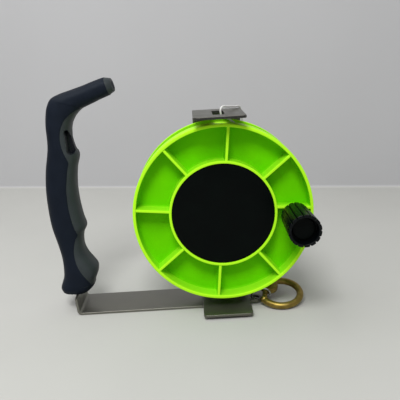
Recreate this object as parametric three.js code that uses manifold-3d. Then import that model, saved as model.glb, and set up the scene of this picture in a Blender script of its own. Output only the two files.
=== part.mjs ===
// A dive reel: a ribbed line spool in a bent steel frame, carried on a steel bar that ends in a moulded handle.
// Lengths are in millimetres and angles in degrees. X runs from the handle to the spool, Y from the front of the
// spool to the back, and Z up. The model is drawn from the middle of the spool's front rim, and moved at the end
// so that the origin lies under the middle of the reel, on the surface that it stands on.
import * as THREE from 'three';
import { mergeVertices } from 'three/addons/utils/BufferGeometryUtils.js';
import Module from 'manifold-3d';

const wasm = await Module();
wasm.setup();

// Clearances
const seatGap = 0.2; // between pieces that are fixed to each other
const runGap = 0.3; // between pieces that turn or slide on each other
const turnedGap = 0.35; // between pieces of the snap, which lies at a slant
const overrun = 1; // how far a cut passes the face that it opens

// Facets of the round pieces
const rimFacets = 40;
const shaftFacets = 20;
const smallFacets = 12;
const bendFacets = 4;

// Spool
const spoolRadius = 70;
const flangeDepth = 15;
const rimWall = 2.4;
const rimBevel = 0.7;
const floorThickness = 2;
const hubRadius = 42;
const hubWall = 2;
const hubLipWidth = 3;
const labelRecess = 1;
const labelThickness = 1.4;
const labelBevel = 0.4;
const ribCount = 8;
const ribThickness = 2;
const ribInset = 0.4;
const ribTurn = -5.7;
const lineWidth = 19;
const rearFlangeThickness = 2.3;
const drumRadius = 28;
const drumWall = 2.5;
const bossRadius = 13;
const frontBossHeight = 1.5;
const rearBossLength = 19;

// Screws that join the halves of the spool
const spoolScrewCount = 4;
const spoolScrewCircle = 20;
const spoolScrewRadius = 1.9;
const spoolScrewHeadRadius = 3.6;
const spoolScrewHeadHeight = 2.4;
const spoolScrewLength = 15;
const spoolScrewBossRadius = 4;

// Axle
const axleRadius = 5;
const axleHeadRadius = 9;
const axleHeadHeight = 6;
const axleThreadPastNut = 0.6;
const axleNutHeight = 5;
const axleWasherRadius = 10;
const axleWasherThickness = 1.2;
const bushWall = 2;
const bushFlangeRadius = 9.6;
const bushFlangeThickness = 1;
const frontBushLength = 6;
const rearBushLength = 14;
const spacerRadius = 8.5;

// Line
const lineDiameter = 1.5;
const lineBelowRim = 9;
const windingTurns = 6;
const windingEndTurn = 35;
const windingEndLength = 15;
const loopSteps = 24;
const loopSides = 6;
const leadSides = 6;
const leadSteps = 72;

// Frame strip
const stripWidth = 39;
const stripThickness = 2;
const frameBend = 4;
const topTabAboveRim = 7;
const bottomTabBelowRim = 10;
const backFace = 46;
const topTabFront = -14;
const bottomTabFront = -12.5;
const tabCornerRadius = 2.5;
const guideSlotWidth = 9;
const guideSlotFront = 0;
const guideSlotBack = 28;
const guideSlotCorner = 2;
const lugReach = 4.4;
const lugRadius = 6;
const lugHoleRadius = 3.5;
const lugBack = 17.8;

// Handle bar
const barFront = 11;
const barRight = 18;
const barPastRim = 53;
const barBend = 5;
const tangLeanShare = 0.2616; // of the handle's width, over the handle's height
const tangLengthShare = 0.579; // of the handle's height
const tangWidth = 22;
const tangShoulder = 7;

// Screws that hold the frame on the bar
const frameScrewRadius = 2.5;
const frameScrewHeadRadius = 4.4;
const frameScrewSpacing = 18;
const frameScrewBack = 33;
const frameScrewPastNut = 0.6;
const frameNutRadius = 4.6;
const frameNutHeight = 3.6;

// Handle
const handleBackShare = 2 / 7; // of the handle's width, from its back to the foot of the tang
const handleAboveGround = 10.7;
const handleWidth = 63.7;
const handleHeight = 179.6;
const handleThickness = 30;
const handleMiddle = 30.5;
const handleSides = 12;
const handleSquareness = 2.6;
const gripSeam = 0.35;
const spineWidthShare = 0.6;
const spineThicknessShare = 0.56;
const spineClearShare = 0.05;
const spineRowStep = 3;
const recessDepth = 8;
const recessWidthShare = 0.088; // of the handle's width
const pinRadius = 2;
const pinLengthShare = 0.1256; // of the handle's width
const pinOffsetShare = 0.0235;
const lowerPinShare = 0.12; // of the handle's height
const upperPinShare = 0.443;

// Each row is one section of the handle from its base to its tip: where it starts at the back of the grip and
// where it ends at the finger side, as shares of the handle's width and height, and its share of the thickness.
const handleSectionShares = [
  [0.072, 0.006, 0.356, 0.002, 0.86],
  [0.053, 0.026, 0.43, 0.033, 1.0],
  [0.082, 0.061, 0.496, 0.075, 1.0],
  [0.105, 0.103, 0.559, 0.117, 1.0],
  [0.115, 0.145, 0.562, 0.143, 1.0],
  [0.115, 0.178, 0.518, 0.168, 0.98],
  [0.107, 0.212, 0.452, 0.202, 0.95],
  [0.088, 0.251, 0.414, 0.238, 0.93],
  [0.063, 0.29, 0.41, 0.277, 0.93],
  [0.041, 0.323, 0.429, 0.31, 0.95],
  [0.027, 0.348, 0.468, 0.338, 0.97],
  [0.013, 0.384, 0.44, 0.383, 0.98],
  [0.0, 0.465, 0.41, 0.459, 1.0],
  [0.008, 0.537, 0.405, 0.536, 1.0],
  [0.038, 0.61, 0.43, 0.61, 0.98],
  [0.072, 0.668, 0.471, 0.669, 0.96],
  [0.094, 0.71, 0.433, 0.704, 0.94],
  [0.1, 0.754, 0.407, 0.754, 0.92],
  [0.1, 0.799, 0.421, 0.8, 0.9],
  [0.113, 0.846, 0.469, 0.834, 0.88],
  [0.138, 0.885, 0.537, 0.86, 0.86],
  [0.192, 0.918, 0.603, 0.875, 0.84],
  [0.294, 0.936, 0.662, 0.884, 0.82],
  [0.458, 0.953, 0.733, 0.894, 0.8],
  [0.609, 0.969, 0.797, 0.904, 0.78],
  [0.752, 0.986, 0.867, 0.913, 0.76],
  [0.867, 0.998, 0.929, 0.922, 0.74],
  [0.929, 0.994, 0.976, 0.932, 0.62],
];

// The seam between the rubber grip and the hard core, from the finger side at the top down to the base.
const seamShares = [
  [0.521, 0.864],
  [0.421, 0.846],
  [0.347, 0.821],
  [0.295, 0.795],
  [0.267, 0.758],
  [0.262, 0.721],
  [0.275, 0.687],
  [0.305, 0.661],
  [0.325, 0.637],
  [0.305, 0.596],
  [0.267, 0.518],
  [0.262, 0.453],
  [0.268, 0.383],
  [0.295, 0.327],
  [0.336, 0.287],
  [0.305, 0.26],
  [0.268, 0.216],
  [0.27, 0.17],
  [0.301, 0.124],
  [0.364, 0.082],
  [0.432, 0.046],
];
const tipSeamShares = [
  [0.84, 1.06],
  [0.93, 0.88],
];
const recessTopShares = [0.336, 0.765];
const recessBottomShares = [0.38, 0.686];

// Crank knob
const crankFromRim = 14.4;
const crankTurn = -4.3;
const crankBossRadius = 7.5;
const crankPinRadius = 3;
const crankPinHeadRadius = 5.2;
const crankPinHeadHeight = 2.4;
const knobLength = 41;
const knobBaseRadius = 11;
const knobFrontRadius = 12.1;
const knobGrooves = 15;
const knobGrooveDepth = 1.1;
const knobGrooveShare = 0.3;
const knobBaseGap = 0.6;
const knobBevel = 1;
const knobCapRadius = 8.8;
const knobCapThickness = 2;
const knobCapRecess = 7;
const knobPocketRadius = 7.6;
const knobPocketDepth = 17;
const crankWasherRadius = 6.8;
const crankWasherThickness = 1;
const crankNutRadius = 5.7;
const crankNutHeight = 4;

// Ratchet and selector
const toothCount = 24;
const toothTipRadius = 29;
const toothRootRadius = 26;
const toothPhase = 69.5;
const ratchetThickness = 3.6;
const ratchetBore = 15;
const ratchetScrewCount = 3;
const ratchetScrewCircle = 20;
const ratchetScrewRadius = 1.4;
const ratchetScrewHeadRadius = 2.6;
const ratchetScrewHeadHeight = 1.5;
const ratchetScrewLength = 5;
const selectorHeight = 47;
const selectorShaftRadius = 4;
const selectorHeadRadius = 6;
const selectorHeadThickness = 0.9;
const selectorBushRadius = 6;
const selectorBushFlange = 8;
const selectorBushFlangeThickness = 1;
const selectorNutRadius = 6.2;
const selectorNutHeight = 4;
const leverThickness = 2.4;
const leverHubRadius = 9;
const leverReach = 31.5;
const leverDrop = 5;
const leverEndRadius = 5;
const leverKnobRadius = 5;
const leverKnobHeight = 8;
const leverPinRadius = 1.8;
const pawlThickness = 2.6;
const pawlHubRadius = 7.4;
const pawlReach = 22.9;
const pawlAngle = -56.9;
const pawlRootWidth = 7;
const pawlTipWidth = 1.8;
const springWireRadius = 0.35;
const springRadius = 5.3;
const springCurls = 2;
const curlSteps = 8;
const curlSides = 5;

// Link ring and snap
const linkRadius = 7.6;
const linkWireRadius = 0.8;
const linkTilt = 120;
const linkFromTab = 9.1;
const linkForward = 2.7;
const linkRise = 7.55;
const hookRadius = 15.9;
const hookWireRadius = 2.8;
const hookTilt = 16;
const hookYaw = -12;
const hookTipFromTab = 11.1;
const hookTipBack = 8.56;
const hookTipRise = 5.75;
const hookTipAngle = 216.8;
const hookSweep = 286;
const hookNoseRadius = 3.3;
const barrelStart = 16;
const barrelEnd = 58;
const barrelRadius = 5.2;
const barrelCollarRadius = 6;
const barrelCollarLength = 3;
const barrelCollarSlope = 1;
const barrelEndBevel = 0.6;
const hookRootRadius = 7.5;
const hookRootThickness = 5;
const hookRootAside = 2.5;
const hookRootBack = 17;
const plungerRadius = 2.2;
const plungerBevel = 0.4;
const plungerEnd = 36;
const plungerTravel = 6;
const boreEnd = 50.3;
const studRadius = 1.5;
const studHeight = 9.5;
const studHeadRadius = 3;
const studHeadThickness = 1.6;
const studBack = 33;
const plungerSpringRadius = 1.6;
const plungerSpringCurls = 6;
const plungerSpringLength = 7.8;
const swivelStemRadius = 1.8;
const swivelHeadRadius = 3.2;
const swivelHeadThickness = 1.6;
const swivelWall = 2.4;
const eyeRadius = 8;
const eyeWireRadius = 2;
const knotLoopRadius = 3.4;
const knotRadius = 2.3;

// The free line's way from the winding up through the guide slot and over the back corner of the tab: to the right of
// the axle, back from the front rim, and up from the rim. From there it runs straight to the snap.
const leadTopPlaces = [
  [23.31, 16.35, -10.04],
  [17.0, 16.4, -5.5],
  [9.75, 16.5, 0.3],
  [8.15, 16.05, 1.4],
  [6.8, 14.8, 2.25],
  [3.4, 10.0, 4.05],
  [2.6, 8.8, 4.9],
  [2.05, 7.95, 6.25],
  [1.8, 7.4, 7.55],
  [1.75, 7.15, 9.4],
  [2.25, 7.7, 11.1],
  [3.15, 8.9, 12.2],
  [4.2, 10.45, 12.35],
  [7.6, 15.6, 11.2],
  [11.0, 23.6, 10.1],
  [14.6, 33.0, 9.0],
  [17.9, 42.0, 8.4],
  [19.7, 48.0, 6.9],
  [20.6, 51.4, 2.2],
  [22.5, 53.6, -9.0],
];
const leadRunShares = [0.227, 0.447, 0.665, 0.846, 1];
const leadEndFromHook = [15.4, 70.24, 27.45];

// Surfaces
const lime = { color: 0x7ce800, roughness: 0.42, metalness: 0 };
const blackPlastic = { color: 0x0b0f12, roughness: 0.35, metalness: 0 };
const blackRubber = { color: 0x1c2029, roughness: 0.75, metalness: 0 };
const greyPlastic = { color: 0x3a4140, roughness: 0.6, metalness: 0 };
const steel = { color: 0x8a8982, roughness: 0.38, metalness: 1 };
const brightSteel = { color: 0xa8a8a6, roughness: 0.28, metalness: 1 };
const brass = { color: 0x9a7c3a, roughness: 0.32, metalness: 1 };
const acetal = { color: 0xe4e2da, roughness: 0.5, metalness: 0 };
const lineWhite = { color: 0xe9e8e2, roughness: 0.8, metalness: 0 };

// Places that follow from the sizes
const coreRadius = spoolRadius - lineBelowRim;
const crankCircle = spoolRadius - crankFromRim;
const topTabHeight = spoolRadius + topTabAboveRim;
const bottomTabDepth = spoolRadius + bottomTabBelowRim;
const barCorner = -spoolRadius - barPastRim;
const lineFront = flangeDepth;
const lineBack = flangeDepth + lineWidth;
const spoolBack = lineBack + rearFlangeThickness;
const floorFront = flangeDepth - floorThickness;
const bushRadius = axleRadius + runGap + bushWall;
const plateFront = backFace - stripThickness;
const bottomTabTop = stripThickness - bottomTabDepth;
const barTop = -bottomTabDepth - seatGap;
const standHeight = barTop - stripThickness;
const tabRight = stripWidth / 2;
const handleBack = barCorner - handleBackShare * handleWidth;
const handleBase = standHeight + handleAboveGround;
const tangLength = tangLengthShare * handleHeight;
const tangLean = THREE.MathUtils.radToDeg(Math.atan((tangLeanShare * handleWidth) / handleHeight));
const pinLength = pinLengthShare * handleWidth;
const pinOffset = pinOffsetShare * handleWidth;
const recessWidth = recessWidthShare * handleWidth;
const lowerPinHeight = handleBase + lowerPinShare * handleHeight;
const upperPinHeight = handleBase + upperPinShare * handleHeight;
const crankX = crankCircle * Math.cos(THREE.MathUtils.degToRad(crankTurn));
const crankZ = crankCircle * Math.sin(THREE.MathUtils.degToRad(crankTurn));
const lineRadius = lineDiameter / 2;
const windingRadius = (coreRadius + seatGap + lineRadius) / Math.cos(Math.PI / loopSteps);

function radians(degrees) {
  return THREE.MathUtils.degToRad(degrees);
}

// A closed mesh becomes a solid: equal corners are welded, empty triangles dropped, and the faces turned outwards.
function solidFrom(geometry) {
  const bare = geometry.clone();
  bare.deleteAttribute('normal');
  bare.deleteAttribute('uv');
  const welded = mergeVertices(bare);
  const corners = welded.attributes.position.array;
  const index = welded.index.array;
  const triangles = [];
  const a = new THREE.Vector3();
  const b = new THREE.Vector3();
  const c = new THREE.Vector3();
  let volume = 0;
  for (let i = 0; i < index.length; i += 3) {
    const [p, q, r] = [index[i], index[i + 1], index[i + 2]];
    if (p === q || q === r || r === p) continue;
    triangles.push(p, q, r);
    a.fromArray(corners, 3 * p);
    b.fromArray(corners, 3 * q);
    c.fromArray(corners, 3 * r);
    volume += a.dot(b.cross(c));
  }
  if (volume < 0) {
    for (let i = 0; i < triangles.length; i += 3) {
      [triangles[i], triangles[i + 1]] = [triangles[i + 1], triangles[i]];
    }
  }
  const triVerts = Uint32Array.from(triangles);
  return new wasm.Manifold(new wasm.Mesh({ numProp: 3, vertProperties: corners, triVerts }));
}

function geometryFrom(solid) {
  const mesh = solid.getMesh();
  const geometry = new THREE.BufferGeometry();
  geometry.setAttribute('position', new THREE.BufferAttribute(Float32Array.from(mesh.vertProperties), 3));
  geometry.setIndex(new THREE.BufferAttribute(Uint32Array.from(mesh.triVerts), 1));
  geometry.computeVertexNormals();
  return geometry;
}

function joined(...solids) {
  return solids.reduce((whole, piece) => whole.add(piece));
}

function cut(solid, ...tools) {
  return tools.reduce((rest, tool) => rest.subtract(tool), solid);
}

// A profile of [radius, y] corners turned about the Y axis; one that leaves the axis is closed on itself.
function turned(profile, facets = shaftFacets) {
  const points = profile.map(([radius, y]) => new THREE.Vector2(radius, y));
  if (profile[0][0] > 0) points.push(points[0].clone());
  return solidFrom(new THREE.LatheGeometry(points, facets));
}

function rod(radius, from, to, facets = shaftFacets) {
  const geometry = new THREE.CylinderGeometry(radius, radius, to - from, facets);
  return solidFrom(geometry.translate(0, (from + to) / 2, 0));
}

function ring(outer, inner, from, to, facets = shaftFacets) {
  return turned([[inner, from], [outer, from], [outer, to], [inner, to]], facets);
}

function block(x0, x1, y0, y1, z0, z1) {
  const geometry = new THREE.BoxGeometry(x1 - x0, y1 - y0, z1 - z0);
  return solidFrom(geometry.translate((x0 + x1) / 2, (y0 + y1) / 2, (z0 + z1) / 2));
}

function at(solid, x, y, z) {
  return solid.translate([x, y, z]);
}

// An outline in X and Z given a thickness along Y, one in Y and Z along X, and one in X and Y along Z.
function alongY(shape, from, to) {
  const geometry = new THREE.ExtrudeGeometry(shape, { depth: to - from, bevelEnabled: false, curveSegments: bendFacets });
  return solidFrom(geometry.rotateX(Math.PI / 2).translate(0, to, 0));
}

function alongX(shape, from, to) {
  const geometry = new THREE.ExtrudeGeometry(shape, { depth: to - from, bevelEnabled: false, curveSegments: bendFacets });
  const turn = new THREE.Matrix4().makeBasis(
    new THREE.Vector3(0, 1, 0),
    new THREE.Vector3(0, 0, 1),
    new THREE.Vector3(1, 0, 0),
  );
  return solidFrom(geometry.applyMatrix4(turn).translate(from, 0, 0));
}

function alongZ(shape, from, to) {
  const geometry = new THREE.ExtrudeGeometry(shape, { depth: to - from, bevelEnabled: false, curveSegments: bendFacets });
  return solidFrom(geometry.translate(0, 0, from));
}

function outline(points) {
  return new THREE.Shape(points.map(([x, y]) => new THREE.Vector2(x, y)));
}

// Rings with the same number of points, joined into one closed skin whose ends are fans to their middles.
function skin(rings) {
  const sides = rings[0].length;
  const corners = rings.flat();
  const triangles = [];
  for (let i = 0; i + 1 < rings.length; i++) {
    for (let j = 0; j < sides; j++) {
      const k = (j + 1) % sides;
      const [p, q, r, s] = [i * sides + j, i * sides + k, (i + 1) * sides + j, (i + 1) * sides + k];
      triangles.push(p, q, r, q, s, r);
    }
  }
  const middle = (points) => points.reduce((sum, p) => sum.add(p), new THREE.Vector3()).divideScalar(points.length);
  const first = corners.push(middle(rings[0])) - 1;
  const last = corners.push(middle(rings.at(-1))) - 1;
  const lastRing = (rings.length - 1) * sides;
  for (let j = 0; j < sides; j++) {
    const k = (j + 1) % sides;
    triangles.push(first, k, j, last, lastRing + j, lastRing + k);
  }
  const geometry = new THREE.BufferGeometry().setFromPoints(corners);
  geometry.setIndex(triangles);
  return geometry;
}

// A round tube along points: each ring is square to the run of the tube and turns as little as it can.
function tube(points, radius, sides) {
  const rings = [];
  let side = null;
  for (let i = 0; i < points.length; i++) {
    const ahead = points[Math.min(i + 1, points.length - 1)];
    const behind = points[Math.max(i - 1, 0)];
    const run = ahead.clone().sub(behind).normalize();
    const start = side ?? (Math.abs(run.y) < 0.9 ? new THREE.Vector3(0, 1, 0) : new THREE.Vector3(1, 0, 0));
    side = start.clone().addScaledVector(run, -start.dot(run)).normalize();
    const across = run.clone().cross(side);
    rings.push(
      Array.from({ length: sides }, (_, j) => {
        const turn = (2 * Math.PI * j) / sides;
        const out = side.clone().multiplyScalar(Math.cos(turn)).addScaledVector(across, Math.sin(turn));
        return points[i].clone().addScaledVector(out, radius);
      }),
    );
  }
  return solidFrom(skin(rings));
}

// The least gap between a winding's turns, measured between points at least half a turn apart.
function leastGap(points, radius, stepsPerTurn) {
  let least = Infinity;
  for (let i = 0; i < points.length; i++) {
    for (let j = i + Math.round(stepsPerTurn / 2); j < points.length; j++) {
      least = Math.min(least, points[i].distanceTo(points[j]));
    }
  }
  return least - 2 * radius;
}

// A helix about the Y axis that turns one way or the other and starts and ends at one angle from straight up. Each
// end runs straight on: the first for one diameter of the wire, the last for a length of its own if it has one.
function helix({ radius, wire, turns, from, to, endTurn, steps, way = 1, endLength = 2 * wire }) {
  const count = turns * steps;
  const points = Array.from({ length: count + 1 }, (_, i) => {
    const turn = radians(endTurn) + (way * 2 * Math.PI * i) / steps;
    return new THREE.Vector3(radius * Math.sin(turn), from + ((to - from) * i) / count, radius * Math.cos(turn));
  });
  const run = new THREE.Vector3(Math.cos(radians(endTurn)), 0, -Math.sin(radians(endTurn)));
  points.unshift(points[0].clone().addScaledVector(run, -way * 2 * wire));
  points.push(points.at(-1).clone().addScaledVector(run, way * endLength));
  return points;
}

const reel = new THREE.Group();
reel.name = 'dive_reel';
const frame = new THREE.Group();
const spool = new THREE.Group();
const crank = new THREE.Group();
const selector = new THREE.Group();
const pawlGroup = new THREE.Group();
const link = new THREE.Group();
const snap = new THREE.Group();
reel.add(frame, spool, selector, pawlGroup, link, snap);
spool.add(crank);

function piece(group, name, solid, surface, place = [0, 0, 0]) {
  const mesh = new THREE.Mesh(geometryFrom(solid), new THREE.MeshStandardMaterial(surface));
  mesh.name = name;
  mesh.position.set(...place);
  group.add(mesh);
  return mesh;
}

// A pan-headed screw along +Y whose head ends at the origin.
function screw({ headRadius, headHeight, radius, length }) {
  const bevel = headHeight / 3;
  return turned(
    [
      [0, -headHeight],
      [headRadius - bevel, -headHeight],
      [headRadius, -headHeight + bevel],
      [headRadius, 0],
      [radius, 0],
      [radius, length],
      [0, length],
    ],
    smallFacets,
  );
}

function hexNut(radius, bore, from, to) {
  return cut(rod(radius, from, to, 6), rod(bore, from - overrun, to + overrun, shaftFacets));
}

// Spool

const spoolBore = bushRadius + seatGap;
const labelRadius = hubRadius - hubWall - seatGap;

function spoolScrewPlaces() {
  return Array.from({ length: spoolScrewCount }, (_, i) => {
    const turn = radians(45 + (360 * i) / spoolScrewCount);
    return [spoolScrewCircle * Math.cos(turn), spoolScrewCircle * Math.sin(turn)];
  });
}

function makeFrontFlange() {
  const innerRim = spoolRadius - rimWall;
  const lipFront = labelRecess + labelThickness + seatGap;
  const body = turned(
    [
      [spoolBore, floorFront - frontBossHeight],
      [bossRadius, floorFront - frontBossHeight],
      [bossRadius, floorFront],
      [hubRadius - hubWall - hubLipWidth, floorFront],
      [hubRadius - hubWall - hubLipWidth, lipFront],
      [hubRadius - hubWall, lipFront],
      [hubRadius - hubWall, 0],
      [hubRadius, 0],
      [hubRadius, floorFront],
      [innerRim, floorFront],
      [innerRim, 0],
      [spoolRadius - rimBevel, 0],
      [spoolRadius, rimBevel],
      [spoolRadius, flangeDepth - rimBevel],
      [spoolRadius - rimBevel, flangeDepth],
      [spoolBore, flangeDepth],
    ],
    rimFacets,
  );
  const ribStart = hubRadius - hubWall / 2;
  const ribEnd = spoolRadius - rimWall / 2;
  const ribEndY = floorFront + floorThickness / 2;
  const rib = block(ribStart, ribEnd, ribInset, ribEndY, -ribThickness / 2, ribThickness / 2);
  const ribs = Array.from({ length: ribCount }, (_, i) => rib.rotate([0, -ribTurn - (360 * i) / ribCount, 0]));
  const boss = at(rod(crankBossRadius, 0, ribEndY), crankX, 0, crankZ);
  const pinHole = at(rod(crankPinRadius + seatGap, -overrun, flangeDepth + overrun), crankX, 0, crankZ);
  const headStart = flangeDepth - crankPinHeadHeight - 2 * seatGap;
  const headHole = at(rod(crankPinHeadRadius + seatGap, headStart, flangeDepth + overrun), crankX, 0, crankZ);
  const screwHole = rod(spoolScrewRadius + seatGap, floorFront - overrun, flangeDepth + overrun, smallFacets);
  const screwHoles = spoolScrewPlaces().map(([x, z]) => at(screwHole, x, 0, z));
  return cut(joined(body, ...ribs, boss), pinHole, headHole, ...screwHoles);
}

function makeRearFlange() {
  const drumFront = lineFront + seatGap;
  const body = turned(
    [
      [spoolBore, spoolBack - rearBossLength],
      [bossRadius, spoolBack - rearBossLength],
      [bossRadius, lineBack],
      [drumRadius - drumWall, lineBack],
      [drumRadius - drumWall, drumFront],
      [drumRadius, drumFront],
      [drumRadius, lineBack],
      [spoolRadius - rimBevel, lineBack],
      [spoolRadius, lineBack + rimBevel],
      [spoolRadius, spoolBack - rimBevel],
      [spoolRadius - rimBevel, spoolBack],
      [spoolBore, spoolBack],
    ],
    rimFacets,
  );
  const webMiddle = lineBack + rearFlangeThickness / 2;
  const post = rod(spoolScrewBossRadius, drumFront, webMiddle, smallFacets);
  const screwEnd = floorFront - seatGap + spoolScrewLength + overrun;
  const hole = rod(spoolScrewRadius + seatGap, drumFront - overrun, screwEnd, smallFacets);
  const places = spoolScrewPlaces();
  const posts = places.map(([x, z]) => at(post, x, 0, z));
  const holes = places.map(([x, z]) => at(hole, x, 0, z));
  const ratchetHole = rod(ratchetScrewRadius + seatGap, lineBack - overrun, spoolBack + overrun, smallFacets);
  const ratchetHoles = ratchetScrewPlaces().map(([x, z]) => at(ratchetHole, x, 0, z));
  return cut(joined(body, ...posts), ...holes, ...ratchetHoles);
}

function ratchetScrewPlaces() {
  return Array.from({ length: ratchetScrewCount }, (_, i) => {
    const turn = radians(90 + (360 * i) / ratchetScrewCount);
    return [ratchetScrewCircle * Math.cos(turn), ratchetScrewCircle * Math.sin(turn)];
  });
}

// Each tooth is a block that stands on the root circle; a gap's middle lies at the phase angle.
function makeRatchet() {
  const gapShares = [-0.27, 0.27, 0.34, 0.62];
  const radii = [toothRootRadius, toothRootRadius, toothTipRadius, toothTipRadius];
  const points = [];
  for (let i = 0; i < toothCount; i++) {
    gapShares.forEach((share, k) => {
      const turn = radians(toothPhase + (360 * (i + share)) / toothCount);
      points.push([radii[k] * Math.cos(turn), radii[k] * Math.sin(turn)]);
    });
  }
  const front = spoolBack + seatGap;
  const back = front + ratchetThickness;
  const body = alongY(outline(points), front, back);
  const hole = rod(ratchetScrewRadius + seatGap, front - overrun, back + overrun, smallFacets);
  const holes = ratchetScrewPlaces().map(([x, z]) => at(hole, x, 0, z));
  return cut(body, rod(ratchetBore, front - overrun, back + overrun), ...holes);
}

function makeLineCore() {
  return ring(coreRadius, drumRadius + seatGap, lineFront + seatGap, lineBack - seatGap, rimFacets);
}

function makeWinding() {
  const margin = lineRadius + 3 * seatGap;
  const points = helix({
    radius: windingRadius,
    wire: lineRadius,
    turns: windingTurns,
    from: lineBack - margin,
    to: lineFront + margin,
    endTurn: windingEndTurn,
    steps: loopSteps,
    way: -1,
    endLength: windingEndLength,
  });
  console.log('least gap between turns of line, mm:', leastGap(points, lineRadius, loopSteps).toFixed(3));
  return tube(points, lineRadius, loopSides);
}

function makeSpool() {
  piece(spool, 'spool_front_flange', makeFrontFlange(), lime);
  piece(spool, 'spool_rear_flange', makeRearFlange(), lime);
  const labelBack = labelRecess + labelThickness;
  const label = [
    [0, labelRecess],
    [labelRadius - labelBevel, labelRecess],
    [labelRadius, labelRecess + labelBevel],
    [labelRadius, labelBack],
    [0, labelBack],
  ];
  piece(spool, 'hub_label_disc', turned(label, rimFacets), blackPlastic);
  const frontBushFront = floorFront - frontBossHeight - seatGap - bushFlangeThickness;
  const frontBush = joined(
    ring(bushFlangeRadius, axleRadius + runGap, frontBushFront, frontBushFront + bushFlangeThickness),
    ring(bushRadius, axleRadius + runGap, frontBushFront, frontBushFront + frontBushLength),
  );
  piece(spool, 'front_bush', frontBush, acetal);
  const rearBushBack = spoolBack + seatGap + bushFlangeThickness;
  const rearBush = joined(
    ring(bushFlangeRadius, axleRadius + runGap, rearBushBack - bushFlangeThickness, rearBushBack),
    ring(bushRadius, axleRadius + runGap, rearBushBack - rearBushLength, rearBushBack),
  );
  piece(spool, 'rear_bush', rearBush, acetal);
  piece(spool, 'ratchet_ring', makeRatchet(), brightSteel);
  const ratchetScrew = screw({
    headRadius: ratchetScrewHeadRadius,
    headHeight: ratchetScrewHeadHeight,
    radius: ratchetScrewRadius,
    length: ratchetScrewLength,
  }).rotate([180, 0, 0]);
  const ratchetScrewSeat = spoolBack + 2 * seatGap + ratchetThickness;
  ratchetScrewPlaces().forEach(([x, z], i) => {
    piece(spool, `ratchet_screw_${i + 1}`, ratchetScrew, brightSteel, [x, ratchetScrewSeat, z]);
  });
  const spoolScrew = screw({
    headRadius: spoolScrewHeadRadius,
    headHeight: spoolScrewHeadHeight,
    radius: spoolScrewRadius,
    length: spoolScrewLength,
  });
  spoolScrewPlaces().forEach(([x, z], i) => {
    piece(spool, `spool_screw_${i + 1}`, spoolScrew, brightSteel, [x, floorFront - seatGap, z]);
  });
  piece(spool, 'line_core', makeLineCore(), lineWhite);
  piece(spool, 'line_winding', makeWinding(), lineWhite);
}

// Crank knob

const knobBack = -knobBaseGap;
const knobFront = -knobLength;
const pocketBack = knobFront + knobPocketDepth;
const crankWasherFront = pocketBack - seatGap - crankWasherThickness;
const crankNutFront = crankWasherFront - seatGap - crankNutHeight;

function knobRing(y, share) {
  const along = (knobBack - y) / (knobBack - knobFront);
  const radius = (knobBaseRadius + (knobFrontRadius - knobBaseRadius) * along) * share;
  const low = radius - knobGrooveDepth * share;
  const points = [];
  for (let i = 0; i < knobGrooves; i++) {
    const pitch = (2 * Math.PI) / knobGrooves;
    const half = knobGrooveShare / 2;
    const turns = [i - half, i, i + half, i + (1 - knobGrooveShare) / 2 + half];
    [radius, low, radius, radius].forEach((r, k) => {
      points.push(new THREE.Vector3(r * Math.cos(turns[k] * pitch), y, r * Math.sin(turns[k] * pitch)));
    });
  }
  return points;
}

function makeKnobSleeve() {
  const bevelShare = 1 - knobBevel / knobFrontRadius;
  const body = solidFrom(
    skin([
      knobRing(knobBack, bevelShare),
      knobRing(knobBack - knobBevel, 1),
      knobRing(knobFront + knobBevel, 1),
      knobRing(knobFront, bevelShare),
    ]),
  );
  const capSeat = knobFront + knobCapRecess + knobCapThickness;
  return cut(
    body,
    rod(crankPinRadius + runGap, knobFront - overrun, knobBack + overrun),
    rod(knobPocketRadius, knobFront - overrun, pocketBack),
    rod(knobCapRadius + seatGap, knobFront - overrun, capSeat + seatGap),
  );
}

function makeCrank() {
  const pin = turned([
    [0, crankNutFront - seatGap],
    [crankPinRadius, crankNutFront - seatGap],
    [crankPinRadius, flangeDepth - seatGap - crankPinHeadHeight],
    [crankPinHeadRadius, flangeDepth - seatGap - crankPinHeadHeight],
    [crankPinHeadRadius, flangeDepth - seatGap],
    [0, flangeDepth - seatGap],
  ]);
  piece(spool, 'crank_pin', pin, brightSteel, [crankX, 0, crankZ]);
  const boreRadius = crankPinRadius + seatGap;
  const washerBack = crankWasherFront + crankWasherThickness;
  const washer = ring(crankWasherRadius, boreRadius, crankWasherFront, washerBack);
  piece(spool, 'crank_washer', washer, brightSteel, [crankX, 0, crankZ]);
  const nut = hexNut(crankNutRadius, boreRadius, crankNutFront, crankNutFront + crankNutHeight);
  piece(spool, 'crank_nut', nut, brightSteel, [crankX, 0, crankZ]);
  crank.position.set(crankX, 0, crankZ);
  piece(crank, 'knob_sleeve', makeKnobSleeve(), blackPlastic);
  const capFront = knobFront + knobCapRecess;
  const cap = turned([
    [0, capFront],
    [knobCapRadius - knobBevel, capFront],
    [knobCapRadius, capFront + knobBevel / 2],
    [knobCapRadius, capFront + knobCapThickness],
    [0, capFront + knobCapThickness],
  ]);
  piece(crank, 'knob_cap', cap, blackPlastic);
}

// Frame

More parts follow.
